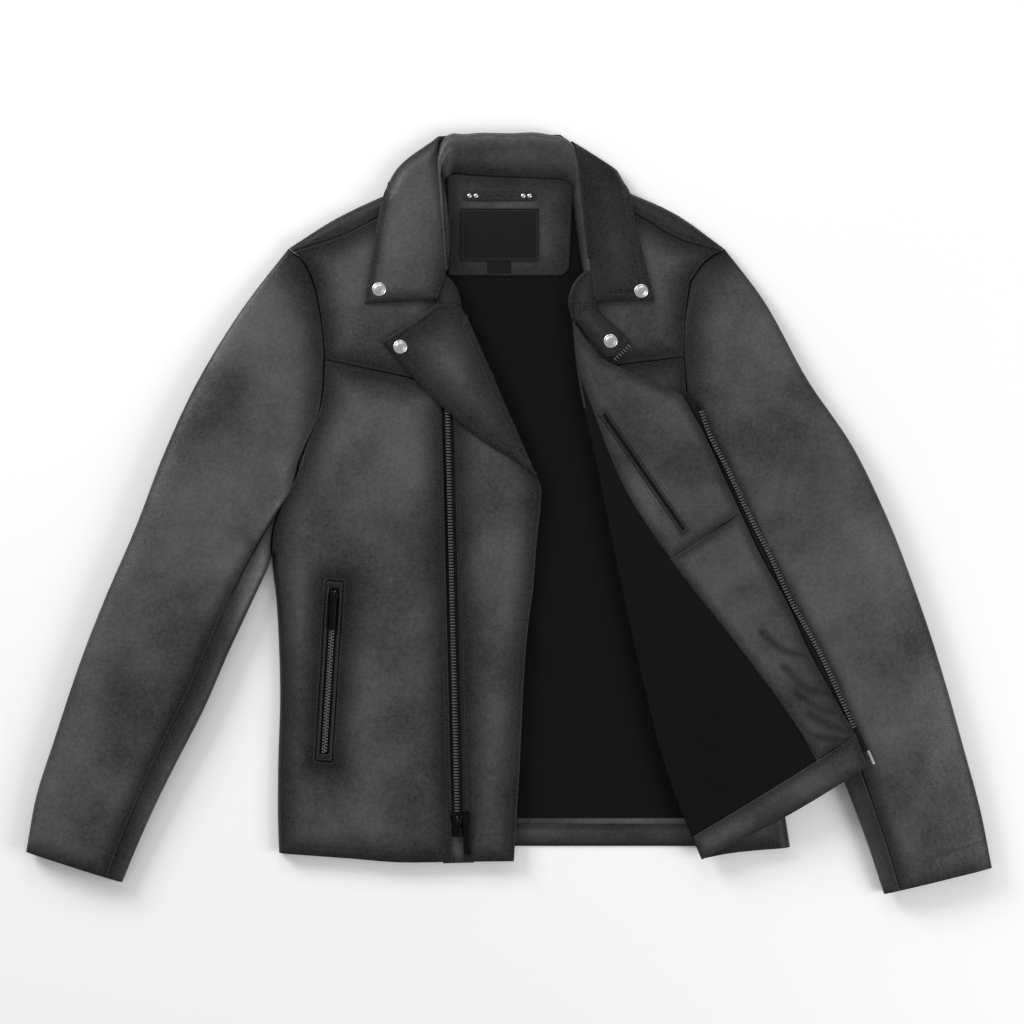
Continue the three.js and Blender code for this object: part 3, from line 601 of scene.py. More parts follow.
def finished(name, mesh, finish, how, nodes=()):
    piece = bpy.data.objects.new(name, mesh)
    bpy.context.scene.collection.objects.link(piece)
    piece.data.materials.append(FINISH[finish])
    return hold(piece, how, nodes)

def smooth(mesh, crisp=40):
    for face in mesh.polygons:
        face.use_smooth = True
    mesh.set_sharp_from_angle(angle=math.radians(crisp))

print("piece holders ready")

# %% [markdown]
# Leather has a thickness, so a second skin below the first closes the piece. A Solidify modifier would do much
# the same, but here both skins carry the attribute that sets the painted shade along the seams.

# %% Skin
ABOVE_TABLE = 0.02  # no skin goes lower than this, in millimetres

def skin(name, points, faces, thickness, lay=LEVEL, seam=None, crisp=40):
    """A closed mesh from an upper surface in millimetres and the leather's thickness."""
    upper = bmesh.new()
    verts = [upper.verts.new(p) for p in points]
    for face in faces:
        upper.faces.new([verts[i] for i in face])
    upper.normal_update()
    normals = np.array([tuple(v.normal) for v in verts])
    upper.verts.index_update()
    free_loops = [edge.link_loops[0] for edge in upper.edges if len(edge.link_faces) == 1]
    rim = [(loop.vert.index, loop.link_loop_next.vert.index) for loop in free_loops]
    upper.free()
    count = len(points)
    lower = np.asarray(points) - normals * thickness
    solid = [list(f) for f in faces] + [[i + count for i in reversed(f)] for f in faces]
    solid += [[b, a, a + count, b + count] for a, b in rim]
    spots = np.concatenate([points, lower])
    turn = np.array(lay)
    spots = spots @ turn[:3, :3].T + turn[:3, 3]
    spots[:, 2] = np.maximum(spots[:, 2], ABOVE_TABLE)
    spots *= MM
    mesh = bpy.data.meshes.new(name)
    mesh.from_pydata(spots.tolist(), [], solid)
    mesh.update()
    if seam is not None:
        values = mesh.attributes.new("from_seam", "FLOAT", "POINT")
        values.data.foreach_set("value", np.concatenate([seam, seam]).astype(np.float32))
    smooth(mesh, crisp)
    return mesh

print("skins stay", ABOVE_TABLE, "mm above the table")

# %% [markdown]
# A panel gets points along its rim, rings of points close inside it where the edge rolls, rows beside each
# pressed line, and an even field of points beyond, joined into triangles. This keeps many faces where the shape
# turns and few where it is flat, which a plain grid can't do.

# %% Field of points
FINE_RINGS = (0.35, 0.8, 1.4, 2.2, 3.4)  # how far inside the rim the first points lie
BESIDE_LINE = (-2.6, -1.3, -0.5, 0.5, 1.3, 2.6)  # the rows that follow a pressed line
CLEAR_OF_LINE = 3.4
ROW_SHARE = 0.87  # rows of even triangles lie this share of a step apart
CLOSEST = 0.45  # of two points in one small square of this side, one is kept

def field(rims, pitch=6.0, rings=FINE_RINGS, step=3.0, lines=()):
    """Points and triangles that fill rims, dense at the rims and beside the given lines."""
    edges, clouds, count = [], [], 0
    for rim in rims:
        edges += [(count + i, count + (i + 1) % len(rim)) for i in range(len(rim))]
        clouds.append(rim)
        count += len(rim)
    extra = [inset(rim, far) for rim in rims for far in rings]
    for line in lines:
        path = flowing(line, step)
        extra += [beside(path, far) for far in BESIDE_LINE]
    low, high = rims[0].min(axis=0), rims[0].max(axis=0)
    rows = []
    for row, y in enumerate(np.arange(low[1], high[1], pitch * ROW_SHARE)):
        xs = np.arange(low[0] + (row % 2) * pitch / 2, high[0], pitch)
        rows.append(np.stack([xs, np.full(len(xs), y)], axis=1))
    grid = np.concatenate(rows)
    near = np.min([distance(grid, ring(rim)) for rim in rims], axis=0)
    grid = grid[near > max(rings) + pitch * 0.45]
    if lines:
        near = np.min([distance(grid, line) for line in lines], axis=0)
        grid = grid[near > CLEAR_OF_LINE]
    if extra:
        extra = np.concatenate(extra)
        near = np.min([distance(extra, ring(rim)) for rim in rims], axis=0)
        extra = extra[near > min(rings) * 0.9]
        kept, taken = [], set()
        for point in extra:
            key = (round(point[0] / CLOSEST), round(point[1] / CLOSEST))
            if key not in taken:
                taken.add(key)
                kept.append(point)
        clouds.append(np.array(kept).reshape(-1, 2))
    clouds.append(grid)
    points = np.concatenate(clouds)
    within = inside(points, rims)
    within[:count] = True
    points = points[within]
    return cells(points, edges, [rims])

square = np.array([(0.0, 0.0), (60.0, 0.0), (60.0, 60.0), (0.0, 60.0)])
print("a square of 60 mm gets", len(field([fair(square)])[0]), "points")

# %% [markdown]
# Each sheet's area is kept, held within the size it was cut to: its length and width, or for a slanting or bent
# strip a length found from its rim and area. Hard parts are gathered from many small ones into a single mesh.

# %% Panels and gathered parts
SLANTING = 0.45  # a panel that fills less of its own box than this is a slanting strip
NARROWEST = 0.0101  # the narrowest cut that a sheet's size is held to, in metres
LEAST_FILL = 0.31  # the least share of its length by width that a cut fills
areas = {}

def panel(name, rims, height, thickness, how, finish="shell", nodes=(), lay=LEVEL, pitch=6.0, rings=FINE_RINGS,
          seam_rims=None, lines=(), step=3.0, painted_light=1.0, shaded_creases=()):
    """A sheet of leather or cloth cut to its rims, shaped by a height, with its flat area kept. With more painted
        light, the painted shade along its seams is narrower, so the leather is lighter nearer to them."""
    rims = [fair(rims[0], step)] + [fair(rim, step)[::-1] for rim in rims[1:]]
    spots, faces = field(rims, pitch, rings, step, lines)
    # painted shade: the seam distance sets how dark the colour is painted near each seam
    seam = painted_light * np.min([distance(spots, ring(rim)) for rim in (seam_rims or rims)], axis=0)
    for path, width, _ in shaded_creases:  # painted shade in the valley beside a wrinkle
        seam = np.minimum(seam, 1.0 + 1.5 * distance(spots, beside(flowing(path, 4.0), width)))
    points = np.column_stack([spots, height(spots)])
    piece = finished(name, skin(name, points, faces, thickness, lay, seam), finish, how, nodes)
    area = (abs(signed_area(rims[0])) - sum(abs(signed_area(r)) for r in rims[1:])) * MM * MM
    size = (rims[0].max(axis=0) - rims[0].min(axis=0)) * MM
    if area < SLANTING * size[0] * size[1]:  # its length and width add up to half its rim
        half = lengths(ring(rims[0]))[-1] / 2 * MM
        long = (half + math.sqrt(max(half * half - 4 * area, 0))) / 2
        size = np.array([area / long, long])
    size = np.maximum(size, NARROWEST)
    area = min(max(area, LEAST_FILL * size[0] * size[1]), size[0] * size[1])
    areas[name] = round(area, 4)
    return piece

def gathered(name, parts, finish, how, nodes=(), lay=LEVEL, crisp=40):
    """One mesh from many (points, faces) parts in millimetres."""
    points, faces, count = [], [], 0
    for spots, tiles in parts:
        points.append(spots)
        faces += [[i + count for i in tile] for tile in tiles]
        count += len(spots)
    turn = np.array(lay)
    spots = (np.concatenate(points) @ turn[:3, :3].T + turn[:3, 3]) * MM
    mesh = bpy.data.meshes.new(name)
    mesh.from_pydata(spots.tolist(), [], faces)
    mesh.update()
    smooth(mesh, crisp)
    return finished(name, mesh, finish, how, nodes)

print("piece makers ready")

# %% [markdown]
# Stitches are what the eye reads as sewn. Each one is a short bowed thread, high in its middle and pulled into
# the leather at both ends, laid along a line beside the seam. A dashed texture would be cheaper, but it
# catches no light.

# %% Thread
STITCH, STITCH_GAP, THREAD = 2.6, 0.9, 0.3  # length, gap and half thickness
STOPS = ((-0.5, -0.35, 0.35), (-0.36, 0.05, 0.9), (0.0, 0.16, 1.0), (0.36, 0.05, 0.9), (0.5, -0.35, 0.35))
AROUND = 6  # sides of a thread; each stop is (share of length, rise, share of thickness)

def stitch_row(path, height, every=STITCH + STITCH_GAP, length=STITCH, thick=THREAD):
    path = flowing(path, every)
    parts = []
    turns = np.linspace(0, math.tau, AROUND, endpoint=False)
    for a, b in zip(path[:-1], path[1:]):
        way = (b - a) / max(np.linalg.norm(b - a), 1e-6)
        side = np.array([-way[1], way[0]])
        spots = []
        middles = np.array([(a + b) / 2 + way * share * length for share, _, _ in STOPS])
        lift = height(middles)
        for (_, rise, full), middle, z in zip(STOPS, middles, lift):
            for turn in turns:
                out = thick * full * math.cos(turn)
                spots.append([middle[0] + side[0] * out, middle[1] + side[1] * out,
                              z + rise + thick * full * math.sin(turn)])
        tiles = [[r * AROUND + k, r * AROUND + (k + 1) % AROUND, (r + 1) * AROUND + (k + 1) % AROUND,
                  (r + 1) * AROUND + k] for r in range(4) for k in range(AROUND)]
        tiles += [list(range(AROUND))[::-1], [4 * AROUND + k for k in range(AROUND)]]
        parts.append((np.array(spots), tiles))
    return parts

print("one stitch row of 20 mm has", len(stitch_row([(0, 0), (20, 0)], surface(0))), "stitches")

# %% [markdown]
# Hard parts such as pulls, patches and zip teeth are plates with rounded edges, cut from an outline. Snaps and
# rivets are turned from a profile, as a lathe would, and cords are tubes along a path.

# %% Plates, round parts and cords
def plate_part(outline, low, high, rounding):
    """An outline raised between two heights, with rounded edges."""
    solid = bmesh.new()
    rim = [solid.verts.new((x, y, low)) for x, y in outline]
    base = solid.faces.new(rim)
    if base.normal.z > 0:
        base.normal_flip()
    raised = bmesh.ops.extrude_face_region(solid, geom=[base])
    tops = [g for g in raised["geom"] if isinstance(g, bmesh.types.BMVert)]
    bmesh.ops.translate(solid, vec=(0, 0, high - low), verts=tops)
    bmesh.ops.recalc_face_normals(solid, faces=solid.faces)
    if rounding:
        sharp = [e for e in solid.edges if e.calc_face_angle(0) > 0.5]
        bmesh.ops.bevel(solid, geom=sharp, offset=rounding, segments=3, profile=0.5, affect="EDGES",
                        clamp_overlap=True)
    solid.verts.index_update()
    part = (np.array([tuple(v.co) for v in solid.verts]), [[v.index for v in f.verts] for f in solid.faces])
    solid.free()
    return part

def oblong(length, width, radius, steps=5):
    """The outline of a bar with rounded corners, along Y, its middle at the origin."""
    spots = []
    for cx, cy, start in ((1, 1, 0), (-1, 1, 90), (-1, -1, 180), (1, -1, 270)):
        for k in range(steps + 1):
            angle = math.radians(start + 90 * k / steps)
            spots.append((cx * (width / 2 - radius) + radius * math.cos(angle),
                          cy * (length / 2 - radius) + radius * math.sin(angle)))
    return np.array(spots)

def turned(profile, steps=40, place=(0, 0, 0)):
    """A round part from (radius, height) pairs, its first and last on the axis."""
    angles = np.linspace(0, math.tau, steps, endpoint=False)
    inner = profile[1:-1]
    spots = [[0, 0, profile[0][1]], [0, 0, profile[-1][1]]]
    for radius, z in inner:
        spots += [[radius * math.cos(a), radius * math.sin(a), z] for a in angles]
    row = lambda r, k: 2 + r * steps + k % steps
    tiles = [[0, row(0, k + 1), row(0, k)] for k in range(steps)]
    tiles += [[row(r, k), row(r, k + 1), row(r + 1, k + 1), row(r + 1, k)]
              for r in range(len(inner) - 1) for k in range(steps)]
    tiles += [[1, row(len(inner) - 1, k), row(len(inner) - 1, k + 1)] for k in range(steps)]
    return np.array(spots, float) + np.array(place, float), tiles

def moved(part, angle=0.0, shift=(0, 0, 0)):
    """A part turned about Z and shifted."""
    c, s = math.cos(angle), math.sin(angle)
    spots = part[0] @ np.array([[c, s, 0], [-s, c, 0], [0, 0, 1]]) + np.array(shift, float)
    return spots, part[1]

def heading(a, b):
    """The angle that turns +Y into the way from a to b."""
    return math.atan2(b[1] - a[1], b[0] - a[0]) - math.pi / 2

def tube_part(path, radius, around=8):
    """A round cord along 3-D points."""
    path = np.asarray(path, float)
    way = np.gradient(path, axis=0)
    way /= np.linalg.norm(way, axis=1)[:, None]
    side = np.cross(way, (0, 0, 1.0))
    side /= np.maximum(np.linalg.norm(side, axis=1), 1e-6)[:, None]
    up = np.cross(side, way)
    angles = np.linspace(0, math.tau, around, endpoint=False)
    spots = np.concatenate([p + radius * (np.cos(angles)[:, None] * s + np.sin(angles)[:, None] * u)
            for p, s, u in zip(path, side, up)])
    tiles = [[r * around + k, (r + 1) * around + k, (r + 1) * around + (k + 1) % around,
              r * around + (k + 1) % around] for r in range(len(path) - 1) for k in range(around)]
    tiles += [list(range(around)), [(len(path) - 1) * around + k for k in range(around)][::-1]]
    return spots, tiles

print("a bar of 10 by 4 has", len(oblong(10, 4, 1)), "corner points")

# %% [markdown]
# The back lies on the table: the back panel, the yoke above it and the collar's fall. Inside are the lining,
# the hem facing and the neck facing. They are flat sheets with rolled edges, because the table presses them
# flat. The lining gets long shallow folds, as loose cloth has.

# %% Back and its inside
EDGE, DROP = 2.0, 0.8  # how far in, and how deep, a leather edge rolls
THICK = 1.4  # the shell leather's thickness

def rolled(rims, reach=EDGE, drop=DROP):
    return [(ring(rim), reach, drop) for rim in rims]

def node_levels(node, lay=LEVEL):
    """A solid's lowest and highest levels once it is laid level."""
    back = lay.inverted()
    levels = [(back @ (v.co / MM)).z for v in frame["nodes"][node].data.vertices]
    return min(levels), max(levels)

def plain_panel(name, node, how, finish="shell", reach=EDGE, drop=DROP, lay=LEVEL, folds=(), pitch=7.0,
                wavy=0.0, lift=0.0, size=90.0, recut=(), painted_light=1.0, shaded_creases=()):
    """A panel that fills the outline and thickness of one flat solid. Recut moves the outline's nearest point."""
    rims = outlines(node, lay)[:1]
    for old, new in recut:
        rims[0][np.argmin(np.linalg.norm(rims[0] - old, axis=1))] = new
    low, high = node_levels(node, lay)
    rim = fair(rims[0])
    height = surface(high + lift, rolled([rim], reach, min(drop, (high - low) * 0.6)), folds, (), wavy, size,
            len(name))
    panel(name, rims, height, high - low, how, finish, [node], lay, pitch, painted_light=painted_light,
          shaded_creases=shaded_creases)
    return rim

plain_panel("shell_back", "back_panel", "root")
plain_panel("shell_collar_fall", "collar_fall", "root")
yoke_rims = outlines("back_yoke", at_height=THICK)
panel("shell_back_yoke", yoke_rims[:1], surface(THICK, rolled([fair(yoke_rims[0])])), THICK, "root",
      nodes=["back_yoke"])
back_folds = [([(-40, 150), (-70, 20), (-60, -120)], 16, 1.0), ([(60, 180), (20, 30), (40, -160)], 20, 1.2),
              ([(-20, -60), (60, -150), (90, -250)], 14, 1.0), ([(-60, -180), (-10, -230), (70, -262)], 10, 0.9),
              ([(10, -270), (90, -276), (170, -268)], 7, 0.7)]
plain_panel("lining_back", "back_lining", "root", "lining", folds=back_folds, wavy=0.15)
hem_rim = plain_panel("facing_back_hem", "back_hem_facing", "root", "facing")
# painted shade: the neck facing's seam distance is shortened, so more of it is painted dark
neck_rim = plain_panel("facing_neck", "neck_facing", "root", "facing", wavy=0.25, size=60, painted_light=0.35,
        recut=[((60, 314), (63.5, 325)), ((-59, 318), (-60.5, 330))])
print("back pieces:", list(areas))

# %% [markdown]
# The maker's patch is a rectangle of smooth leather sewn on all round, left blank here, with a thin piping at its
# edge and a small cloth size tab below it.

# %% Patch and tab
PATCH_SEAM = 2.2  # how far inside the patch's edge its stitches run
PIPING_IN, PIPING = 1.0, 0.5  # how much smaller the piping's outline is, and half its thickness

def bar_of(node, rounding, radius, finish, name, top=None):
    """A flat bar with rounded corners that fills a solid's box, up to its own top or another."""
    low, high = (np.array(c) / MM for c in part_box(node))
    outline = oblong(high[1] - low[1], high[0] - low[0], radius) + (low[:2] + high[:2]) / 2
    gathered(name, [plate_part(outline, low[2], top or high[2], rounding)], finish, "root", [node])
    return low, high

low, high = bar_of("label_patch", 0.3, 1.2, "patch", "makers_patch")
(left, lower), (right, upper) = low[:2] + PATCH_SEAM, high[:2] - PATCH_SEAM
border = [(left, lower), (right, lower), (right, upper), (left, upper), (left, lower)]
rows = [part for a, b in zip(border[:-1], border[1:]) for part in stitch_row([a, b], surface(high[2]))]
gathered("makers_patch_stitches", rows, "thread", "root")
round_it = ring(oblong(high[1] - low[1] - PIPING_IN, high[0] - low[0] - PIPING_IN, 1.4) + (low[:2] + high[:2]) / 2)
piping = tube_part(np.column_stack([round_it, np.full(len(round_it), high[2] - 0.1)]), PIPING)
gathered("makers_patch_piping", [piping], "patch", "root")
bar_of("size_tab", 0.15, 0.4, "tape", "size_tab_cloth")
print("patch", (high - low)[:2].round(1), "mm")

# %% [markdown]
# Above the patch a leather strap is riveted at both ends, to hang the jacket by. Its two rows of stitches run
# between the rivets.

# %% Hanger strap
STRAP = 1.2  # its thickness
RIVET_SPOTS = ((6.3, 0.3), (12.6, 0.3), (-12.4, 0.3), (-6.2, 0.3))  # from the strap's nearer end
RIVET = [(0, 0.0), (2.0, 0.0), (2.2, 0.25), (1.9, 0.7), (1.1, 1.0), (0, 1.1)]
ROW_START, ROW_ASIDE = 17, 2.4  # where the stitches start, and how far from the middle they run
strap_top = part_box("hanger_loop")[0][2] / MM + STRAP
low, high = bar_of("hanger_loop", 0.35, 3.6, "facing", "hanger_strap", strap_top)
middle_y = (low[1] + high[1]) / 2
gathered("strap_rivets", [turned(RIVET, 24, ((low[0] if x > 0 else high[0]) + x, middle_y + y, strap_top - 0.1))
        for x, y in RIVET_SPOTS], "silver", "root")
rows = [part for aside in (ROW_ASIDE, -ROW_ASIDE)
        for part in stitch_row([(low[0] + ROW_START, middle_y + aside), (high[0] - ROW_START, middle_y + aside)],
                               surface(strap_top))]
gathered("strap_stitches", rows, "thread", "root")
print("strap rivets:", len(RIVET_SPOTS))

# %% [markdown]
# The right front is a yoke, a long panel cut for a slanted pocket, and an overlap beyond the main zip. The
# frame splits it at the fold where it opens, but real leather bends there, so one panel spans both parts. A blend
# from the body to the opening front is given for it, but the panel is only fixed in place. At the side seam and
# the shoulder the leather rolls down to the table. Broad low swellings stop it from looking ironed.

# %% Right front
FRONT_TOP = top_of("right_front_middle")
joints = {joint["name"]: joint for joint in frame["joints"]}

def hinge_place(name):
    joint = joints[name]
    return np.array(joint["pos_m"]), np.array(joint["axis"])

FOLD_REACH = 0.012  # metres to either side of the fold, where the given blend starts and ends
fold_at, fold_way = hinge_place("right_front_open")
across = np.cross(fold_way, (0, 0, 1.0))
across *= np.sign(across[0])
RIGHT_FOLD = ("root", "right_front", tuple(fold_at - across * FOLD_REACH), tuple(fold_at + across * FOLD_REACH))
print("the right front folds at", fold_at.round(3))

# %% [markdown]
# The side seam runs from the armpit down to the hem's outer corner. It is found on the outline as the run of
# points that lies close to the straight line between those two.

# %% Right front panel
SIDE_REACH, SIDE_DROP = 10.0, 10.6  # how far in the side rolls, and how far down
OUTER_HALF = 200  # the side seam is further from the middle than this
ARMPIT_Y, HEM_Y = -41, -324
SIDE_RINGS = (0.35, 0.8, 1.4, 2.2, 3.4, 5.2, 7.6, 10.4)

right_yoke = united(outlines("right_front_yoke_side")[0], outlines("right_front_yoke_edge")[0])
side_rims = outlines("right_front_side")
right_main = united(side_rims[0], outlines("right_front_middle")[0])

def side_run(rim, top_y):
    """The side seam's run of a front's rim, from a height down to the hem's outer corner."""
    corner = rim[np.argmax(np.abs(rim[:, 0]) - rim[:, 1])]
    high = rim[np.argmin(np.abs(rim[:, 1] - top_y) + 1000 * (np.abs(rim[:, 0]) < OUTER_HALF))]
    chosen = rim[(rim[:, 1] >= corner[1]) & (rim[:, 1] <= high[1]) & (distance(rim, [high, corner]) < 6)]
    return chosen[np.argsort(-chosen[:, 1])]

main_rim = fair(right_main)
side_seam = side_run(main_rim, ARMPIT_Y)
hem_right = main_rim[main_rim[:, 1] < HEM_Y]
hem_right = hem_right[np.argsort(hem_right[:, 0])]
swell_right = [([(-150, 110), (-100, 20), (-110, -90)], 42, 1.6), ([(-90, 110), (-75, 0), (-80, -150)], 22, 1.0),
               ([(-205, 60), (-170, -10), (-160, -60)], 13, 1.6), ([(-214, 10), (-190, -40), (-185, -90)], 9, 1.2),
               ([(-215, -60), (-205, -150), (-210, -250)], 8, 0.8),
               ([(-130, -140), (-95, -220), (-100, -300)], 26, 1.0),
               ([(-165, 120), (-120, 118), (-80, 112)], 6, 0.7), ([(-206, 70), (-196, 30), (-206, -10)], 5, 0.9)]
hem_line = beside(hem_right, 8.0)
pressed_right = [(hem_line[2:-2], 1.3, 0.35)]
right_height = surface(FRONT_TOP, rolled([main_rim]) + [(side_seam, SIDE_REACH, SIDE_DROP)]
        + rolled([fair(side_rims[1])], 1.8, 0.9), swell_right, pressed_right, 0.35, 80, 4)
panel("shell_right_front", [right_main, side_rims[1]], right_height, THICK, RIGHT_FOLD,
      nodes=["right_front_side", "right_front_middle"], rings=SIDE_RINGS, lines=[hem_line])
print("right front:", areas["shell_right_front"], "m2")

# %% [markdown]
# Above the front panel lies the yoke, and beyond the zip the overlap that opens with the front.

# %% Right yoke and overlap
yoke_rim = fair(right_yoke)
swell_yoke = [([(-185, 215), (-150, 190), (-145, 150)], 18, 1.2), ([(-160, 250), (-140, 200), (-110, 165)], 16, 0.9)]
yoke_height = surface(FRONT_TOP, rolled([yoke_rim]), swell_yoke, [], 0.3, 70, 6)
panel("shell_right_yoke", [right_yoke], yoke_height, THICK, RIGHT_FOLD,
      nodes=["right_front_yoke_side", "right_front_yoke_edge"])
overlap_rim = plain_panel(
    "shell_right_overlap", "right_front_overlap", "right_front", wavy=0.4, size=70, pitch=6.0,
    folds=[([(-30, 60), (-20, -40), (-25, -160)], 18, 1.3), ([(5, 20), (-12, -90), (-20, -200)], 9, 0.9)])
print("right yoke:", areas["shell_right_yoke"], "m2, overlap:", areas["shell_right_overlap"], "m2")

# %% [markdown]
# The back's yoke comes forward over the shoulders, where it shows as a narrow strip on each side. Its upper edge
# rolls down to the table, less so near the tip, where the sleeve holds it up.

# %% Shoulders
SHOULDER_REACH, SHOULDER_DROP = 9.0, 11.0
TIP_START, TIP_FADE, TIP_SHARE = 4, 40, 0.35  # where the roll starts, over how far it grows, and its first share

def shoulder(name, number):
    rim = sorted(outlines("back_yoke", at_height=FRONT_TOP), key=lambda r: r[:, 0].mean())[number]
    tip, start = rim[np.argmax(np.abs(rim[:, 0]))], rim[np.argmax(rim[:, 1])]
    chord = tip - start
    above = (chord[0] * (rim[:, 1] - start[1]) - chord[1] * (rim[:, 0] - start[0])) * np.sign(chord[0]) > -0.5
    edge = flowing(rim[above][np.argsort(np.abs(rim[above][:, 0]))], 3.0)
    full = surface(FRONT_TOP, rolled([fair(rim)]) + [(edge, SHOULDER_REACH, SHOULDER_DROP)])
    flat = surface(FRONT_TOP, rolled([fair(rim)]))
    def height(points):
        grown = np.clip((np.linalg.norm(points - tip, axis=1) - TIP_START) / TIP_FADE, 0, 1)
        return flat(points) + (full(points) - flat(points)) * (TIP_SHARE + (1 - TIP_SHARE) * grown)
    panel(name, [rim], height, THICK, "root", rings=(0.35, 0.8, 1.6, 2.6, 4.2, 6.4, 9.0))
    return fair(rim)

shoulders = [shoulder("shell_right_shoulder", 0), shoulder("shell_left_shoulder", 1)]
print("shoulder strips made")

# %% [markdown]
# The left front has a yoke and a side that still lie on the body, and a door that is turned open over the left
# sleeve. The fold between them is one bent strip of leather, so a half-round strip joins the two layers. A blend
# between their bodies along Z is given for it, but the strip is only fixed in place.

# %% Left front that stays on the body
left_yoke_rim = plain_panel(
    "shell_left_yoke", "left_front_yoke", "root", wavy=0.3,
    folds=[([(150, 250), (140, 200), (120, 160)], 16, 1.2)])
left_rims = outlines("left_front_side")
left_seam = side_run(fair(left_rims[0]), ARMPIT_Y)
left_height = surface(FRONT_TOP - 0.3, rolled([fair(left_rims[0])]) + [(left_seam, SIDE_REACH, SIDE_DROP)]
        + rolled([fair(left_rims[1])], 1.8, 0.9))
panel("shell_left_front", left_rims[:2], left_height, THICK, "root", nodes=["left_front_side"],
      rings=(0.35, 0.8, 1.6, 2.6, 4.2, 6.4, 9.6))
print("left front side:", areas["shell_left_front"], "m2")

# %% [markdown]
# The open door: outer leather below, then facings and lining, each its own sheet on the slope. Its slope is read
# from the frame, and the same matrix lays every sheet level and tips it back.

# %% Slope of the open front
door_at, door_way = hinge_place("left_front_close")
slope_normal = max(frame["nodes"]["left_front_outer"].data.polygons, key=lambda f: f.area * (f.normal.z > 0)).normal
tilt = math.acos(slope_normal.z)
hinge_spot = Vector(door_at / MM)
DOOR = (Matrix.Translation(hinge_spot) @ Matrix.Rotation(-tilt, 4, Vector(door_way))
        @ Matrix.Translation((-hinge_spot.x, -hinge_spot.y, 0)))
print("door slope", round(math.degrees(tilt), 2), "degrees")

# %% [markdown]
# Three sets of folds on the door: short wrinkles low on the facing, broad soft ones above, and the lining's
# long diagonal pulls.

# %% Folds of the open front
wrinkles = [([(262, -150), (285, -172), (312, -178)], 5, 0.9), ([(276, -176), (296, -190), (322, -196)], 4, 0.9),
            ([(288, -196), (306, -206), (328, -214)], 4, 0.8), ([(262, -190), (290, -216), (320, -222)], 4, 0.7),
            ([(240, -118), (262, -136), (286, -142)], 6, 0.7)]
soft = [([(90, 150), (120, 130), (155, 108)], 12, 0.7), ([(165, 105), (190, 65), (204, 25)], 13, 0.9),
        ([(220, -40), (240, -90), (275, -120)], 14, 1.0)]
cloth_folds = [([(100, 40), (150, -60), (215, -150)], 9, 1.6), ([(110, 0), (165, -110), (235, -190)], 7, 1.5),
               ([(120, -60), (170, -160), (240, -220)], 8, 1.5), ([(135, -120), (185, -210), (255, -240)], 7, 1.3),
               ([(150, -180), (190, -250), (240, -262)], 8, 1.2), ([(200, -140), (240, -190), (262, -225)], 5, 1.0)]
print("folds on the door:", len(wrinkles) + len(soft) + len(cloth_folds))

# %% [markdown]
# The sheets themselves, from the outer leather up. A few corners are recut, so that the hem runs straight.

# %% Sheets of the open front
HEM_CORNER, HEM_TOP = (346.5, -243), (335, -212.8)  # the door's lower corner, and the hem seam above it
plain_panel("shell_left_door", "left_front_outer", "left_front", lay=DOOR,
            recut=[((322.7, -256.9), HEM_CORNER), ((340.8, -229.9), (341.5, -230.5))])
upper_rim = plain_panel("facing_left_upper", "left_facing_upper", "left_front", "facing", lay=DOOR,
        folds=soft[:2], wavy=0.5, size=70, pitch=5.0, reach=2.4, drop=0.9)
# painted shade: the valleys beside these wrinkles are painted darker
lower_rim = plain_panel("facing_left_lower", "left_facing_lower", "left_front", "facing", lay=DOOR,
        folds=wrinkles + soft[2:], shaded_creases=wrinkles, wavy=0.5, size=60, pitch=3.0,
        reach=2.4, drop=0.9,
        recut=[((297, -229.8), (298.5, -235.6)), ((331.6, -211), HEM_TOP)])
doorhem_rim = plain_panel("facing_left_hem", "left_hem_facing", "left_front", "facing", lay=DOOR,
        wavy=0.3, size=50, pitch=4.5, reach=2.0, drop=0.8, lift=0.5,
        recut=[((322.7, -256.9), HEM_CORNER), ((340.8, -229.9), (341.5, -230.5)),
               ((331.7, -211.3), HEM_TOP), ((297.1, -230.1), (297.6, -237.2)),
               ((275.6, -252.3), (272, -253.6))],
        folds=[([(298, -238), (312, -248), (330, -252)], 4, 0.6)])
plain_panel("lining_left_door", "left_front_lining", "left_front", "lining", lay=DOOR, folds=cloth_folds,
            wavy=0.3, size=60, pitch=4.0, recut=[((296.9, -230.5), (298, -238)), ((275.3, -252.7), (271, -255))])
plain_panel("bag_inner_pocket", "inner_pocket_bag", "left_front", "lining", lay=DOOR)
print("door pieces:", [n for n in areas if "left" in n])

# %% [markdown]
# Where the door turns over, the layers run round the fold. Three half-round strips show it: facing at the top,
# lining below, and a small one of shell leather inside, which closes the gap when the door swings over.

# %% Fold strips
FOLD_LINE = [(62, 187), (66, 144), (88, 33), (127, -149), (156, -258), (187, -334)]
FOLD_ROWS, TUCKED, STRIP_THICK = 9, 1.5, 0.6  # points round the bend, and how far it is tucked in

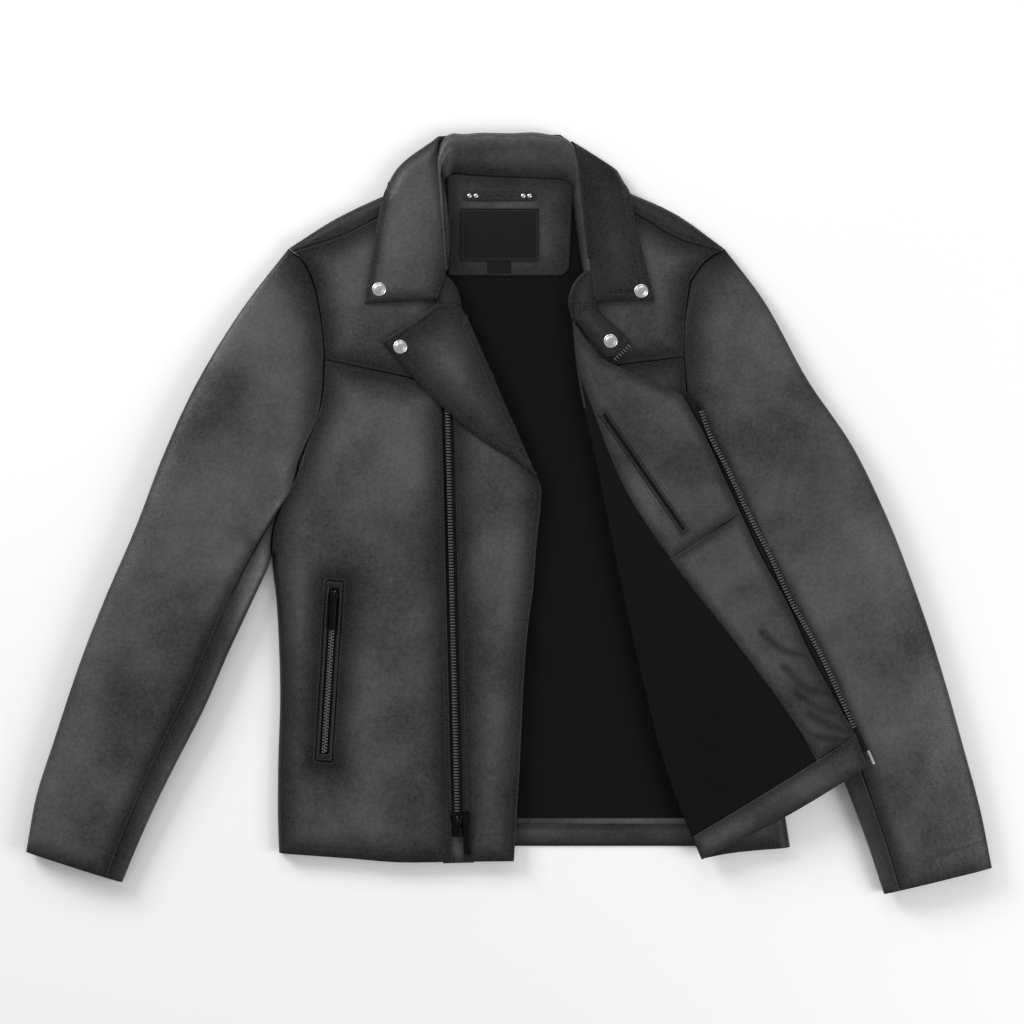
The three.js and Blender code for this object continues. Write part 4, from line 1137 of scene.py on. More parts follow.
def fold_strip(name, finish, top_y, bottom_y, bulge, low, high):
    """A half-round strip along the fold, from the body's front to the door."""
    fold = fair(outlines("left_front_outer", DOOR)[0], 5.0)
    fold = fold[distance(fold, FOLD_LINE) < 2]
    fold = fold[np.argsort(-fold[:, 1])]
    fold = fold[(fold[:, 1] < top_y) & (fold[:, 1] > bottom_y)]
    out = beside(fold, 1.0) - fold
    out *= -np.sign(out[:, :1])
    points, rows = [], FOLD_ROWS
    for (x, y), side in zip(fold, out):
        top = DOOR @ Vector((x, y, high))
        for k in range(rows):
            angle = math.pi * k / (rows - 1)
            share = (1 - math.cos(angle)) / 2
            push = math.sin(angle) * bulge - TUCKED
            points.append([x + (top.x - x) * share + side[0] * push, y + (top.y - y) * share + side[1] * push,
                           low + (top.z - low) * share])
    faces = [[i * rows + k, i * rows + k + 1, (i + 1) * rows + k + 1, (i + 1) * rows + k]
             for i in range(len(fold) - 1) for k in range(rows - 1)]
    a, b, c = (np.array(points[i]) for i in faces[rows][:3])
    if np.cross(b - a, c - a)[0] > 0:
        faces = [f[::-1] for f in faces]
    # painted shade: every point is set close to a seam, so the whole strip is painted dark
    mesh = skin(name, points, faces, STRIP_THICK, seam=np.full(len(points), 2.5), crisp=60)
    strip = finished(name, mesh, finish,
            ("root", "left_front", (0, 0, FRONT_TOP * MM), (0, 0, (FRONT_TOP + 2.0) * MM)))
    long = lengths(fold)[-1] * MM
    return long

print("fold strips", round(fold_strip("facing_left_fold", "facing", 300, 100, 2.6, FRONT_TOP - 0.7, 3.9), 3),
      round(fold_strip("lining_left_fold", "lining", 100, -400, 2.2, FRONT_TOP - 0.7, 3.4), 3),
      round(fold_strip("shell_left_fold", "shell", 300, -400, 1.5, FRONT_TOP - 0.1, 0.6), 3), "m long")

# %% [markdown]
# The sleeves lie as flattened tubes, full of air at the upper arm and flatter at the cuff. A tube through
# rounded sections, set between an outer and an inner edge, gives their exact outline; the edges repeat the
# pattern of the frame. The sleeve puffs up from the armhole seam, creases fan out from the armpit and the
# elbow, and a seam runs down the back of the arm.

# %% Sleeve outlines and creases
SLEEVE_DEPTH = 30.0
DEPTH_SHARES = np.array([0.45, 0.66, 0.86, 1, 1, 0.97, 0.93, 0.87, 0.8, 0.74])
ARMHOLES = {
    "right": [(-213, 257), (-199, 245), (-187.6, 220), (-179.7, 175), (-177.8, 141), (-184, 95), (-200.8, 55),
              (-211, 20), (-222, 4), (-228, -15), (-229.5, -41)],
    "left": [(208, 257), (191, 246), (176, 228), (171, 200), (169.5, 141), (177, 95), (196, 55), (210, 20),
             (221, 4), (227.5, -15), (229, -41)]}
OUTER_EDGES = {
    "right": [(-213, 257), (-251, 208), (-300, 130), (-334, 57), (-358, -6), (-391, -83), (-415, -144.5),
              (-441, -222.6), (-457, -272.6), (-467, -326.5)],
    "left": [(208, 257), (243.5, 210.5), (289, 129), (331, 67), (360, 8.7), (396, -83.4), (422, -164),
             (440, -228), (455, -283), (467, -342)]}
INNER_EDGES = {
    "right": [(-229.5, -41), (-234, -54), (-245, -78), (-258, -106), (-271, -134), (-296, -191), (-322, -241.5),
              (-344.4, -287), (-360, -322), (-374, -356)],
    "left": [(229, -41), (233, -54), (243, -76), (256, -100), (270, -128), (295, -182), (317, -241),
             (333, -282), (347.3, -321), (362.6, -367.5)]}
BACK_SEAM = math.radians(135)
CREASES = {
    "right": [([(-236, -30), (-262, 10), (-280, 60)], 9, 2.4), ([(-232, -36), (-250, -20), (-290, 0)], 7, 1.9),
              ([(-246, -70), (-280, -60), (-320, -70)], 9, 1.8), ([(-262, -108), (-300, -95), (-345, -110)], 11, 1.5),
              ([(-215, 30), (-232, 60), (-240, 110)], 8, 1.6), ([(-205, 90), (-225, 130), (-222, 190)], 14, 1.4),
              ([(-270, 60), (-310, 20), (-330, -40)], 22, 1.3), ([(-300, -140), (-350, -150), (-390, -175)], 16, 1.3),
              ([(-340, -230), (-380, -225), (-425, -240)], 14, 1.0),
              ([(-392, -300), (-410, -260), (-412, -215)], 15, 1.0),
              ([(-250, 150), (-275, 120), (-300, 70)], 18, 1.2)],
    "left": [([(234, -32), (258, 10), (272, 70)], 9, 2.2), ([(232, -38), (262, -24), (300, -14)], 8, 1.8),
             ([(238, 190), (262, 150), (280, 90)], 20, 1.4), ([(300, 60), (322, 10), (332, -50)], 20, 1.4),
             ([(330, -40), (352, -100), (356, -150)], 16, 1.2), ([(372, -170), (396, -220), (400, -290)], 16, 1.3),
             ([(350, -310), (392, -300), (436, -290)], 12, 0.9), ([(362, -330), (400, -340), (446, -322)], 9, 0.8)]}
print("creases:", {side: len(folds) for side, folds in CREASES.items()})

# %% [markdown]
# Near the shoulder the tube's sections bend into the armhole's line, whose seam gathers the leather a little. The
# back seam is a groove with a raised lip, and the cuff has a pressed line and a turned edge.

# %% Sleeve surface
PULL_REACH, PULL_DROP = 7.0, 2.2  # how the armhole seam pulls the leather down
PUCKER, PUCKER_COUNT, PUCKER_FADE = 0.4, 25, 8.0
GROOVE, GROOVE_WIDTH = 1.1, 1.1  # the back seam
LIP, LIP_ASIDE, LIP_WIDTH = 0.35, 2.4, 1.6
CUFF_LINE, CUFF_PRESS = 27, 0.4  # how far from the cuff its pressed line runs, and how deep
BEND_SECTIONS = 3.0  # over how many sections the armhole's line fades

def tube(side, ts, phis, inwards=0.0):
    """Points of a sleeve at stations ts and angles phis, and how far each is from a seam or the tube's flattened
    sides, which sets its painted shade.
    """
    outer, inner = np.array(OUTER_EDGES[side], float), np.array(INNER_EDGES[side], float)
    arm = flowing(ARMHOLES[side], 2.0)
    arm_at = lengths(arm) / lengths(arm)[-1]
    stations = np.arange(len(outer), dtype=float)
    knots = lengths((outer + inner) / 2)
    place = np.interp(ts, stations, knots)
    outer_at, inner_at = curve(outer, knots, place), curve(inner, knots, place)
    half = curve(DEPTH_SHARES[:, None] * SLEEVE_DEPTH / 2, knots, place)[:, 0]
    sign = 1 if side == "left" else -1
    points, seams = [], []
    for t, far, a, b, h in zip(ts, place, outer_at, inner_at, half):
        width = np.linalg.norm(b - a)
        share = (1 - np.cos(phis)) / 2
        spots = a + (b - a) * ((inwards + (width - 2 * inwards) * share) / width)[:, None]
        fade = max(0.0, 1 - t / BEND_SECTIONS) ** 1.5
        chord = outer[0] + (inner[0] - outer[0]) * share[:, None]
        seam = np.stack([np.interp(share, arm_at, arm[:, k]) for k in (0, 1)], axis=1)
        spots = spots + (seam - chord) * fade
        spots[:, 0] += sign * 0.3 * fade
        sine = np.sin(phis)
        power = np.where(sine > 0, 0.72, 0.5)
        z = h + (h - inwards) * np.sign(sine) * np.abs(sine) ** power
        top = np.clip(sine, 0, 1) ** 0.5
        if inwards < 1:
            for path, wide, rise in CREASES[side]:
                z += ridge(spots, path, wide, rise) * top
            z += 0.5 * waves(spots, 60, 7) * top
            near = np.clip(far / PULL_REACH, 0, 1)
            z -= top * PULL_DROP * (1 - math.sqrt(1 - (1 - near) ** 2))
            z += top * PUCKER * np.sin(share * PUCKER_COUNT * math.tau) * math.exp(-far / PUCKER_FADE)
            back = np.abs(share - (1 - math.cos(BACK_SEAM)) / 2) * width
            z -= np.where(sine > 0, GROOVE * np.exp(-(back / GROOVE_WIDTH) ** 2), 0)
            lip = LIP * np.exp(-((back - LIP_ASIDE) / LIP_WIDTH) ** 2)
            z += np.where((sine > 0) & (phis < BACK_SEAM), lip, 0)
            ending = knots[-1] - far
            z -= top * (CUFF_PRESS * math.exp(-((ending - CUFF_LINE) / 1.6) ** 2)
                        + 1.0 * (1 - math.sqrt(1 - (1 - min(ending / 2.0, 1)) ** 2)))
            # painted shade: darker towards the armhole, the cuff, the back seam and the flattened sides, where the
            # tube turns from the light
            sides = np.minimum(share, 1 - share) * width
            edge = np.where(phis < BACK_SEAM, np.minimum(back, 400), back * 0.6 + 4)
            seams.append(np.minimum(np.minimum(np.full(len(phis), far * 0.8), ending * 0.9 + 3),
                    np.minimum(edge, sides * 1.2 + 9)))
        else:
            seams.append(np.full(len(phis), 30.0))
        points.append(np.column_stack([spots, np.maximum(z, 0.05)]))
    return np.concatenate(points), np.concatenate(seams)

print("the right cuff starts at", tube("right", np.array([9.0]), np.array([0.0]))[0][0].round(1))

# %% [markdown]
# A sleeve's points lie close together at the armhole, along the back seam and at the cuff. A blend is given
# that would keep the piece with the body at the armhole and bend it over a band beyond it, but the piece is only
# fixed in place.

# %% Sleeves
AT_ARMHOLE = [0, 0.5, 1.1, 1.9, 3.0, 4.4, 6.2]
AT_CUFF = [32, 30, 28.6, 27.7, 27, 26.3, 25.4, 24, 20, 14, 9, 5, 3, 1.8, 1.1, 0.5, 0]
AT_BACK_SEAM = [-4, -2.6, -1.7, -1.0, -0.5, 0, 0.5, 1.0, 1.7, 2.6]  # degrees
# painted light: the sleeves' painted seam shade is narrowed, so their middles are painted lighter
SLEEVE_PAINTED_LIGHT = 1.4

def around_section(count=84, fine=True):
    phis = np.linspace(0, math.tau, count, endpoint=False)
    if fine:
        phis = np.concatenate([phis, BACK_SEAM + np.radians(AT_BACK_SEAM)])
    return np.unique(np.round(phis, 5))

BEND_WIDTH = 80.0  # how wide the band of the given blend is
def sleeve_blend(side):
    """The blend that would keep the armhole with the body and bend the cloth over the upper arm."""
    shoulder_tip, armpit = np.array(ARMHOLES[side][0], float), np.array(INNER_EDGES[side][0], float)
    down = (armpit - shoulder_tip) / np.linalg.norm(armpit - shoulder_tip)
    out = np.array([-down[1], down[0]]) * (1 if side == "left" else -1)
    bend_end = armpit + out * BEND_WIDTH
    return "root", f"{side}_sleeve", (*(armpit * MM), 0), (*(bend_end * MM), 0)

def sleeve(side):
    outer, inner = np.array(OUTER_EDGES[side], float), np.array(INNER_EDGES[side], float)
    knots = lengths((outer + inner) / 2)
    marks = np.concatenate([AT_ARMHOLE, np.arange(9, knots[-1] - 34, 6.0), knots[-1] - np.array(AT_CUFF)])
    ts = np.interp(marks, knots, np.arange(len(knots)))
    how = sleeve_blend(side)
    for name, inwards, thick, finish, phis, nodes in (
            (f"shell_{side}_sleeve", 0.0, THICK, "shell", around_section(), ("upper", "under")),
            (f"lining_{side}_sleeve", THICK + 0.3, 0.6, "lining", around_section(48, False), ("lining",))):
        chosen = ts if not inwards else ts[:-8:2]
        points, seams = tube(side, chosen, phis, inwards)
        n = len(phis)
        faces = [[r * n + k, r * n + (k + 1) % n, (r + 1) * n + (k + 1) % n, (r + 1) * n + k]
                 for r in range(len(chosen) - 1) for k in range(n)]
        if side == "right":
            faces = [f[::-1] for f in faces]
        mesh = skin(name, points, faces, thick, seam=seams * SLEEVE_PAINTED_LIGHT, crisp=60)
        piece = finished(name, mesh, finish, how, [f"{side}_sleeve_{node}" for node in nodes])
        girths = [lengths(ring(section))[-1] for section in points.reshape(len(chosen), n, 3)]
        places = np.interp(chosen, np.arange(len(knots)), knots)
        area = float(np.sum(np.diff(places) * (np.array(girths)[1:] + girths[:-1]) / 2)) * MM * MM
        areas[name] = round(area, 4)
    return knots[-1]

for side in ("right", "left"):
    print(side, "sleeve", round(sleeve(side)), "mm down its middle")

# %% [markdown]
# The collar stands up behind the neck and turns over at its roll. The stand is a band drawn through five long
# lines: the neck seam, the inner belly, the roll, the crown outside it and the line below that. A panel can't
# make it, because it stands upright.

# %% Band through lines
def band(name, lines, finish, how, nodes, thickness, step=5.0, rows=13):
    """A sheet through several 3-D lines with equal numbers of points."""
    lines = [np.array(line, float) for line in lines]
    knots = lengths(lines[0][:, :2])
    fine = np.linspace(0, knots[-1], int(knots[-1] / step))
    long = np.array([curve(line, knots, fine) for line in lines])
    grid = []
    for k in range(len(fine)):
        across_points = long[:, k]
        places = lengths(across_points)
        grid.append(curve(across_points, places, np.linspace(0, places[-1], rows)))
    points = np.concatenate(grid)
    faces = [[i * rows + k, i * rows + k + 1, (i + 1) * rows + k + 1, (i + 1) * rows + k]
             for i in range(len(fine) - 1) for k in range(rows - 1)]
    a, b, c = (points[i] for i in faces[len(faces) // 2][:3])
    if np.cross(b - a, c - a)[2] < 0:
        faces = [f[::-1] for f in faces]
    # painted shade: the colour is darkest along the neck seam and lightens row by row towards the roll
    reach = np.minimum(np.tile(np.arange(rows), len(fine)), 8) * 5.0
    mesh = skin(name, points, faces, thickness, seam=reach, crisp=60)
    piece = finished(name, mesh, finish, how, nodes)
    width = max(lengths(g)[-1] for g in grid)
    long_way = lengths(long[1])[-1]
    area = sum(lengths(g)[-1] for g in grid) / len(grid) * long_way
    return points.reshape(len(fine), rows, 3)

print("band maker ready")

# %% [markdown]
# The five lines of the stand, from the neck seam up to the roll and over it. Each goes round the neck from the
# right front to the left.

# %% Stand lines
neck_seam = [(-58.5, 236, 10.5), (-59.5, 270, 8), (-61.0, 308, 6.2), (-61, 325, 5.6), (-56, 330, 5.4),
             (-40, 329, 5.4), (0, 327, 5.4), (35, 325.5, 5.4), (52, 324.2, 5.4), (60, 320, 5.6),
             (62, 303, 5.4), (66, 272, 8), (71.5, 235, 10.5)]
belly = [(-58.8, 236, 13), (-60.6, 270, 11.6), (-62.4, 307, 10), (-62.4, 333, 9.6), (-55.5, 343, 9.6),
         (-40, 346, 9.8), (0, 346, 10), (35, 344.5, 9.8), (52, 339.5, 9.6), (61.6, 330, 9.6), (65.6, 304, 10.2),
         (69.6, 273, 11.6), (74.4, 235, 13)]
roll = [(-60.4, 236, 15.8), (-62.6, 270, 16.4), (-65, 309, 16.8), (-66.4, 345, 17.2), (-59, 357.5, 17.4),
        (-40, 361.6, 17.6), (0, 362.6, 17.7), (35, 361.2, 17.6), (55, 354, 17.4), (65.4, 342, 17.2),
        (69.6, 305, 16.8), (73.4, 274, 16.4), (77.6, 235, 15.8)]
crown = [(-62.6, 236, 14.2), (-65.2, 270, 14.6), (-67.8, 310, 14.8), (-69.6, 348, 14.0), (-62.6, 362.8, 13.2),
         (-41, 366.8, 13.0), (0, 367.6, 13.0), (36, 366.8, 13.0), (58.6, 359.6, 13.2), (68.8, 346, 14.0),
         (72.4, 306, 14.8), (76, 274, 14.6), (80, 235, 14.2)]
under_roll = [(-63.6, 236, 12.6), (-66.6, 270, 12.6), (-69, 310, 12.0), (-70.6, 349, 8.0), (-63.4, 363.8, 3.2),
              (-41, 367.6, 2.2), (0, 368.4, 2.2), (36, 367.6, 2.2), (59.4, 360.6, 3.2), (69.8, 347, 8.0),
              (73.6, 306, 12.0), (77.4, 274, 12.6), (81.4, 235, 12.6)]
stand = band("shell_collar_stand", [neck_seam, belly, roll, crown, under_roll], "shell", "root",
             ["collar_stand"], THICK)
print("collar stand", stand.shape[0], "x", stand.shape[1], "points")

# %% [markdown]
# From the roll the collar falls as two pointed leaves, each two leathers thick with a crisp sewn edge. Each leaf
# is a panel whose roll edge is wide and soft and whose outer edge is tight. The lapels are made the same way.

# %% How a leaf turns
LEAF_DEPTH = 2.2  # two leathers, pressed
BACK_REACH, BACK_DROP = 17.0, 14.2  # how the back edge falls over the shoulder
ROLL_LONG, LAPEL_LONG = 0.125, 0.185  # lengths of the roll lines, in metres
LEAF_SEAM = 6.5  # how far inside the edge the stitches press the leaf
LEAF_RINGS = (0.35, 0.8, 1.5, 2.4, 3.6, 5.6, LEAF_SEAM, 7.4, 10.0, 13.5)

def hinge_line(name, long):
    at, way = hinge_place(name)
    return np.array([(at[:2] - way[:2] * 0.01) / MM, (at[:2] + way[:2] * long) / MM])

def back_run(rim, roll_line, low_y=314):
    """The outer back edge of a leaf, from the tip by the neck to the shoulder."""
    tip = rim[np.argmax(rim[:, 1])]
    rest = rim[(rim[:, 1] > low_y) & (rim[:, 1] < tip[1] - 6) & (distance(rim, roll_line) > 4)]
    return flowing(np.concatenate([[tip], rest[np.argsort(-rest[:, 1])]]), 3.0)

def turned_piece(name, node, body, roll_line, roll_reach, roll_drop, back=None, lay=LEVEL, folds=(), free=1.1,
        painted_light=1.0):
    top = node_levels(node, lay)[1]
    rim = fair(outlines(node, lay, round(top, 1))[0], 2.5)
    edges = rolled([rim], 2.6, free) + [(roll_line, roll_reach, roll_drop)]
    if back is not None:
        edges.append((back, BACK_REACH, BACK_DROP))
    pressed = [(ring(inset(rim, LEAF_SEAM)), 0.9, 0.3)]
    height = surface(top, edges, folds, pressed, 0.35, 60, len(name))
    panel(name, [rim], height, LEAF_DEPTH, body, "shell", [node], lay, 5.0, LEAF_RINGS, step=2.5, painted_light=painted_light)
    return rim

rolls = {side: hinge_line(f"{side}_collar_turn", ROLL_LONG) for side in ("right", "left")}
backs = {side: back_run(outlines(f"collar_leaf_{side}", at_height=round(top_of(f"collar_leaf_{side}"), 1))[0], roll)
         for side, roll in rolls.items()}
print("back edges:", {side: len(back) for side, back in backs.items()}, "points")

# %% [markdown]
# The two leaves and the two lapels, each turned at its own line. The right leaf lies highest, so it is painted
# lighter, a painted highlight; the left one hardly catches the light and is painted darker, as is the right lapel.

# %% Leaves and lapels
right_lapel_roll = hinge_line("right_lapel_turn", LAPEL_LONG)
left_lapel_roll = np.array([(62.6, 187.4), (93.2, 150.2)])
# painted light: the right leaf is painted lighter and the left leaf and the right lapel darker, by how far the
# painted seam shade reaches
leaves = {"right": turned_piece(
    "shell_right_leaf", "collar_leaf_right", "right_collar", rolls["right"], 11.0, 5.0, backs["right"], painted_light=1.9,
    folds=[([(-95, 300), (-104, 260), (-108, 225)], 17, 1.3), ([(-78, 330), (-84, 290), (-82, 240)], 7, 0.7)])}
leaves["left"] = turned_piece(
    "shell_left_leaf", "collar_leaf_left", "left_collar", rolls["left"], 11.0, 5.0, backs["left"], painted_light=0.4,
    folds=[([(88, 310), (98, 270), (104, 225)], 14, 1.2)])
right_lapel = turned_piece(
    "shell_right_lapel", "right_lapel", "right_lapel", right_lapel_roll, 10.0, 5.4, painted_light=0.65,
    folds=[([(-70, 180), (-45, 130), (-5, 75)], 16, 1.3), ([(-95, 165), (-75, 160), (-55, 170)], 9, 0.7)])
left_lapel = turned_piece(
    "shell_left_lapel", "left_lapel", "left_lapel", left_lapel_roll, 6.0, 1.6, lay=DOOR, free=1.0,
    folds=[([(72, 195), (88, 180), (96, 165)], 8, 0.8)])
print("leaves and lapels made")

# %% [markdown]
# At both sides of the neck opening a small piece of shell leather curves from the collar into the lapel and
# covers the ends of the layers below.

# %% Neck edges
NECK_TOP, NECK_STEP = 15.4, 2.5
NECK_EDGES = {
    "right": ("right_front", [(-71, 232), (-61, 231.5), (-55, 226), (-49.5, 217), (-45.5, 200), (-44, 190),
                              (-71, 190)]),
    "left": ("root", [(60.5, 187), (57.0, 206), (60, 218), (66, 228), (74, 235.5), (84, 236), (84, 187)])}
for side, (body, rim) in NECK_EDGES.items():
    rim = np.array(rim, float)
    panel(f"shell_{side}_neck_edge", [rim], surface(NECK_TOP, rolled([fair(rim, NECK_STEP)], 3.5, 1.3)), THICK, body,
          step=NECK_STEP, pitch=4.0)
print("neck edges:", list(NECK_EDGES))

# %% [markdown]
# Press snaps: a domed cap with a rolled rim on each leaf, and the stud it presses onto on the front below.
# A turned profile makes both, as a lathe would.

# %% Snaps
CAP = [(0, 0.0), (6.2, 0.0), (6.6, 0.3), (6.55, 0.75), (6.1, 1.1), (5.5, 1.2), (5.15, 1.05), (4.9, 1.08),
       (4.0, 1.55), (2.4, 1.88), (1.0, 1.98), (0, 2.0)]
STUD = [(0, 0.0), (5.0, 0.0), (5.3, 0.3), (5.0, 0.9), (3.4, 1.1), (2.9, 1.4), (3.0, 2.1), (2.6, 2.4), (1.2, 2.2),
        (0, 2.1)]

def spot_of(node, lay=LEVEL):
    spots = np.array([tuple(lay.inverted() @ (v.co / MM)) for v in frame["nodes"][node].data.vertices])
    low, high = spots.min(axis=0), spots.max(axis=0)
    return (low + high) / 2, low, high

for node, body, lay in (("snap_cap_collar_right", "right_collar", LEVEL),
        ("snap_cap_collar_left", "left_collar", LEVEL),
        ("snap_cap_lapel_right", "right_lapel", LEVEL),
        ("snap_cap_lapel_left", "left_lapel", DOOR)):
    middle, low, _ = spot_of(node, lay)
    gathered(node.replace("snap_cap", "press_cap"), [turned(CAP, 48, (middle[0], middle[1], low[2] - 0.2))],
             "silver", body, [node], lay)
for node, body in (("snap_stud_collar_right", "root"), ("snap_stud_collar_left", "root"),
        ("snap_stud_lapel_right", "right_front")):
    middle, low, _ = spot_of(node)
    gathered(node.replace("snap_stud", "press_stud"), [turned(STUD, 36, (middle[0], middle[1], low[2]))],
             "silver", body, [node])
print("snaps made")

# %% [markdown]
# A metal zip is a row of stamped teeth pinched onto the corded edge of a tape. Each tooth has a foot on the
# tape and a narrower nose that locks between its neighbours. One tooth is made once and repeated along the
# chain; where both halves are joined, as on the pockets, a second row faces the first, half a step on.

# %% Zip teeth
TOOTH_STEP = 2.9  # from one tooth of a row to the next
NOSE_SHARE, CORD_SHARE = 0.32, 0.72  # where a closed zip's rows and cords lie, in lengths of a tooth
CORD, OPEN_CORD_SHARE = 0.75, 0.42  # half a cord's thickness, and where an open half's cord lies

def tooth(length, low, high):
    half = length / 2
    return plate_part([(-half, -0.8), (half * 0.3, -0.8), (half * 0.55, -0.42), (half * 0.9, -0.62), (half, 0),
            (half * 0.9, 0.62), (half * 0.55, 0.42), (half * 0.3, 0.8), (-half, 0.8)], low, high, 0.22)

def chain(name, path, length, low, high, how, nodes, lay=LEVEL, rows=1):
    """Teeth along a path that starts at the zip's bottom, their noses to the right of the way up."""
    path = flowing(path, TOOTH_STEP)
    shape = tooth(length, low, high)
    flipped = (shape[0] * [-1, -1, 1], shape[1])
    parts = []
    for a, b in zip(path[:-1], path[1:]):
        angle = heading(a, b)
        right = np.array([math.cos(angle), math.sin(angle)])
        if rows == 1:
            parts.append(moved(shape, angle, (*a, 0)))
        else:
            parts.append(moved(shape, angle, (*(a - right * length * NOSE_SHARE), 0)))
            parts.append(moved(flipped, angle, (*((a + b) / 2 + right * length * NOSE_SHARE), 0)))
    gathered(name, parts, "teeth", how, nodes, lay, 35)
    cords = []
    for share in ((OPEN_CORD_SHARE,) if rows == 1 else (CORD_SHARE, -CORD_SHARE)):
        side = beside(path, length * share)
        cords.append(tube_part(np.column_stack([side, np.full(len(side), (low + high) / 2 - 0.2)]), CORD))
    gathered(name + "_cord", cords, "tape", how, (), lay)

def ends_of(node, way, lay=LEVEL):
    """The two ends of a straight strip's middle line."""
    spots = np.array([tuple(lay.inverted() @ (v.co / MM)) for v in frame["nodes"][node].data.vertices])
    way = np.asarray(way[:2]) / np.linalg.norm(way[:2])
    side = np.array([-way[1], way[0]])
    along, aside = spots[:, :2] @ way, spots[:, :2] @ side
    middle = side * (aside.min() + aside.max()) / 2
    return middle + way * along.min(), middle + way * along.max(), spots[:, 2].min(), spots[:, 2].max()

print("a tooth has", len(tooth(4.6, 0, 2)[1]), "faces")

# %% [markdown]
# The main zip has a straight half on the right front and a curved one on the turned-open door, whose middle line
# is found from its outline. The left lapel shows its last few teeth.

# %% Main zip
zip_way = np.array(joints["main_slider_slide"]["axis"])
low_end, high_end, low, high = ends_of("main_zip_chain_right", zip_way)
chain("main_zip_teeth_right", [low_end, high_end], 4.6, low + 0.1, high, "right_front", ["main_zip_chain_right"])
plain_panel("main_zip_tape_right_half", "main_zip_tape_right", "right_front", "tape", reach=0.8, drop=0.3,
            pitch=6.0)

def middle_line(rim):
    """The middle of a long thin strip, from its lowest end to its highest."""
    half = len(rim) // 2
    start = int(np.argmin(rim[:, 1]))
    turned_rim = np.roll(rim, -start, axis=0)
    sides = sorted([turned_rim[:half], turned_rim[half:][::-1]], key=lambda s: s[:, 0].mean())
    pairs = min(len(sides[0]), len(sides[1]))
    middle = (sides[0][:pairs] + sides[1][:pairs]) / 2
    return middle[np.argsort(middle[:, 1])]

low, high = node_levels("main_zip_chain_left", DOOR)
chain("main_zip_teeth_left", middle_line(outlines("main_zip_chain_left", DOOR)[0]), 4.4, low, high, "left_front",
      ["main_zip_chain_left"], DOOR)
plain_panel("main_zip_tape_left_half", "main_zip_tape_left", "left_front", "tape", lay=DOOR, reach=0.8, drop=0.3,
            pitch=4.0)
chain("lapel_zip_teeth", [(103.0, 149.4), (118.8, 164.0)], 3.6, 0.9, 2.2, "left_lapel", (), DOOR)
print("main zip:", round(float(np.linalg.norm(high_end - low_end))), "mm of teeth on the right half")

# %% [markdown]
# The open zip ends in a box on the right half and a pin on the left. A slider is a plate, wide at its shoulders
# where the two rows part, with a small arch on top that holds its pull.

# %% Box, pin and sliders
middle, low, high = spot_of("main_zip_box")
zip_angle = heading((0, 0), zip_way[:2])
box_part = plate_part(oblong(9.4, 7.4, 1.2), low[2], high[2], 0.5)
gathered("zip_retaining_box", [moved(box_part, zip_angle, (middle[0], middle[1], 0))], "pull", "right_front",
         ["main_zip_box"])
middle, low, high = spot_of("insertion_pin", DOOR)
pin = plate_part(oblong(14.0, 2.4, 0.9), low[2], high[2], 0.35)
gathered("zip_insertion_pin", [moved(pin, heading((0, 0), (5, -12)), (middle[0], middle[1], 0))], "silver",
         "left_front", ["insertion_pin"], DOOR)

def slider(name, node, width, length, way, how, finish):
    middle, low, high = spot_of(node)
    shoulder, base = width / 2, low[2]
    outline = [(-width * 0.27, -length / 2), (width * 0.27, -length / 2), (shoulder, length * 0.08),
               (shoulder, length * 0.38), (width * 0.3, length / 2), (width * 0.08, length * 0.36),
               (-width * 0.08, length * 0.36), (-width * 0.3, length / 2), (-shoulder, length * 0.38),
               (-shoulder, length * 0.08)]
    plate = plate_part(outline, base, base + 1.4, 0.4)
    arch = [(0, length * s, base + 1.0 + 1.4 * math.sin(math.pi * k / 6)) for k, s in
            enumerate(np.linspace(-0.28, 0.26, 7))]
    parts = [plate, tube_part(arch, 0.75)]
    angle = heading((0, 0), way[:2])
    return gathered(name, [moved(part, angle, (middle[0], middle[1], 0)) for part in parts], finish, how, [node],
                    crisp=35)

slider("main_zip_slider", "main_slider", 9.0, 13.0, zip_way, "main_slider", "pull")
pocket_way = -np.array(joints["right_pocket_slide"]["axis"])
left_way = -np.array(joints["left_pocket_slide"]["axis"])
slider("right_pocket_zip_slider", "right_pocket_slider", 6.4, 13.0, pocket_way, "right_pocket_slider", "pull")
slider("left_pocket_zip_slider", "left_pocket_slider", 6.4, 13.0, left_way, "left_pocket_slider", "pull")
print("sliders at", round(math.degrees(zip_angle), 1), "degrees for the main zip")

# %% [markdown]
# Pulls hang from the sliders. Each is a flat bar of black enamelled metal with a raised middle. The main one is
# long and hangs beside the chain, from a thin bar bent over the slider.

# %% Pulls
PULL_LONG, PULL_WIDE, PULL_DEEP = 42.0, 7.5, 1.6

def pull_parts(length, width, low, high):
    """A flat bar with a raised middle."""
    body = plate_part(oblong(length, width, width * 0.28), low, high - 0.35, 0.3)
    raised = plate_part(oblong(length * 0.72, width * 0.56, width * 0.18) - [0, length * 0.07], high - 0.6, high,
            0.25)
    return [body, raised]

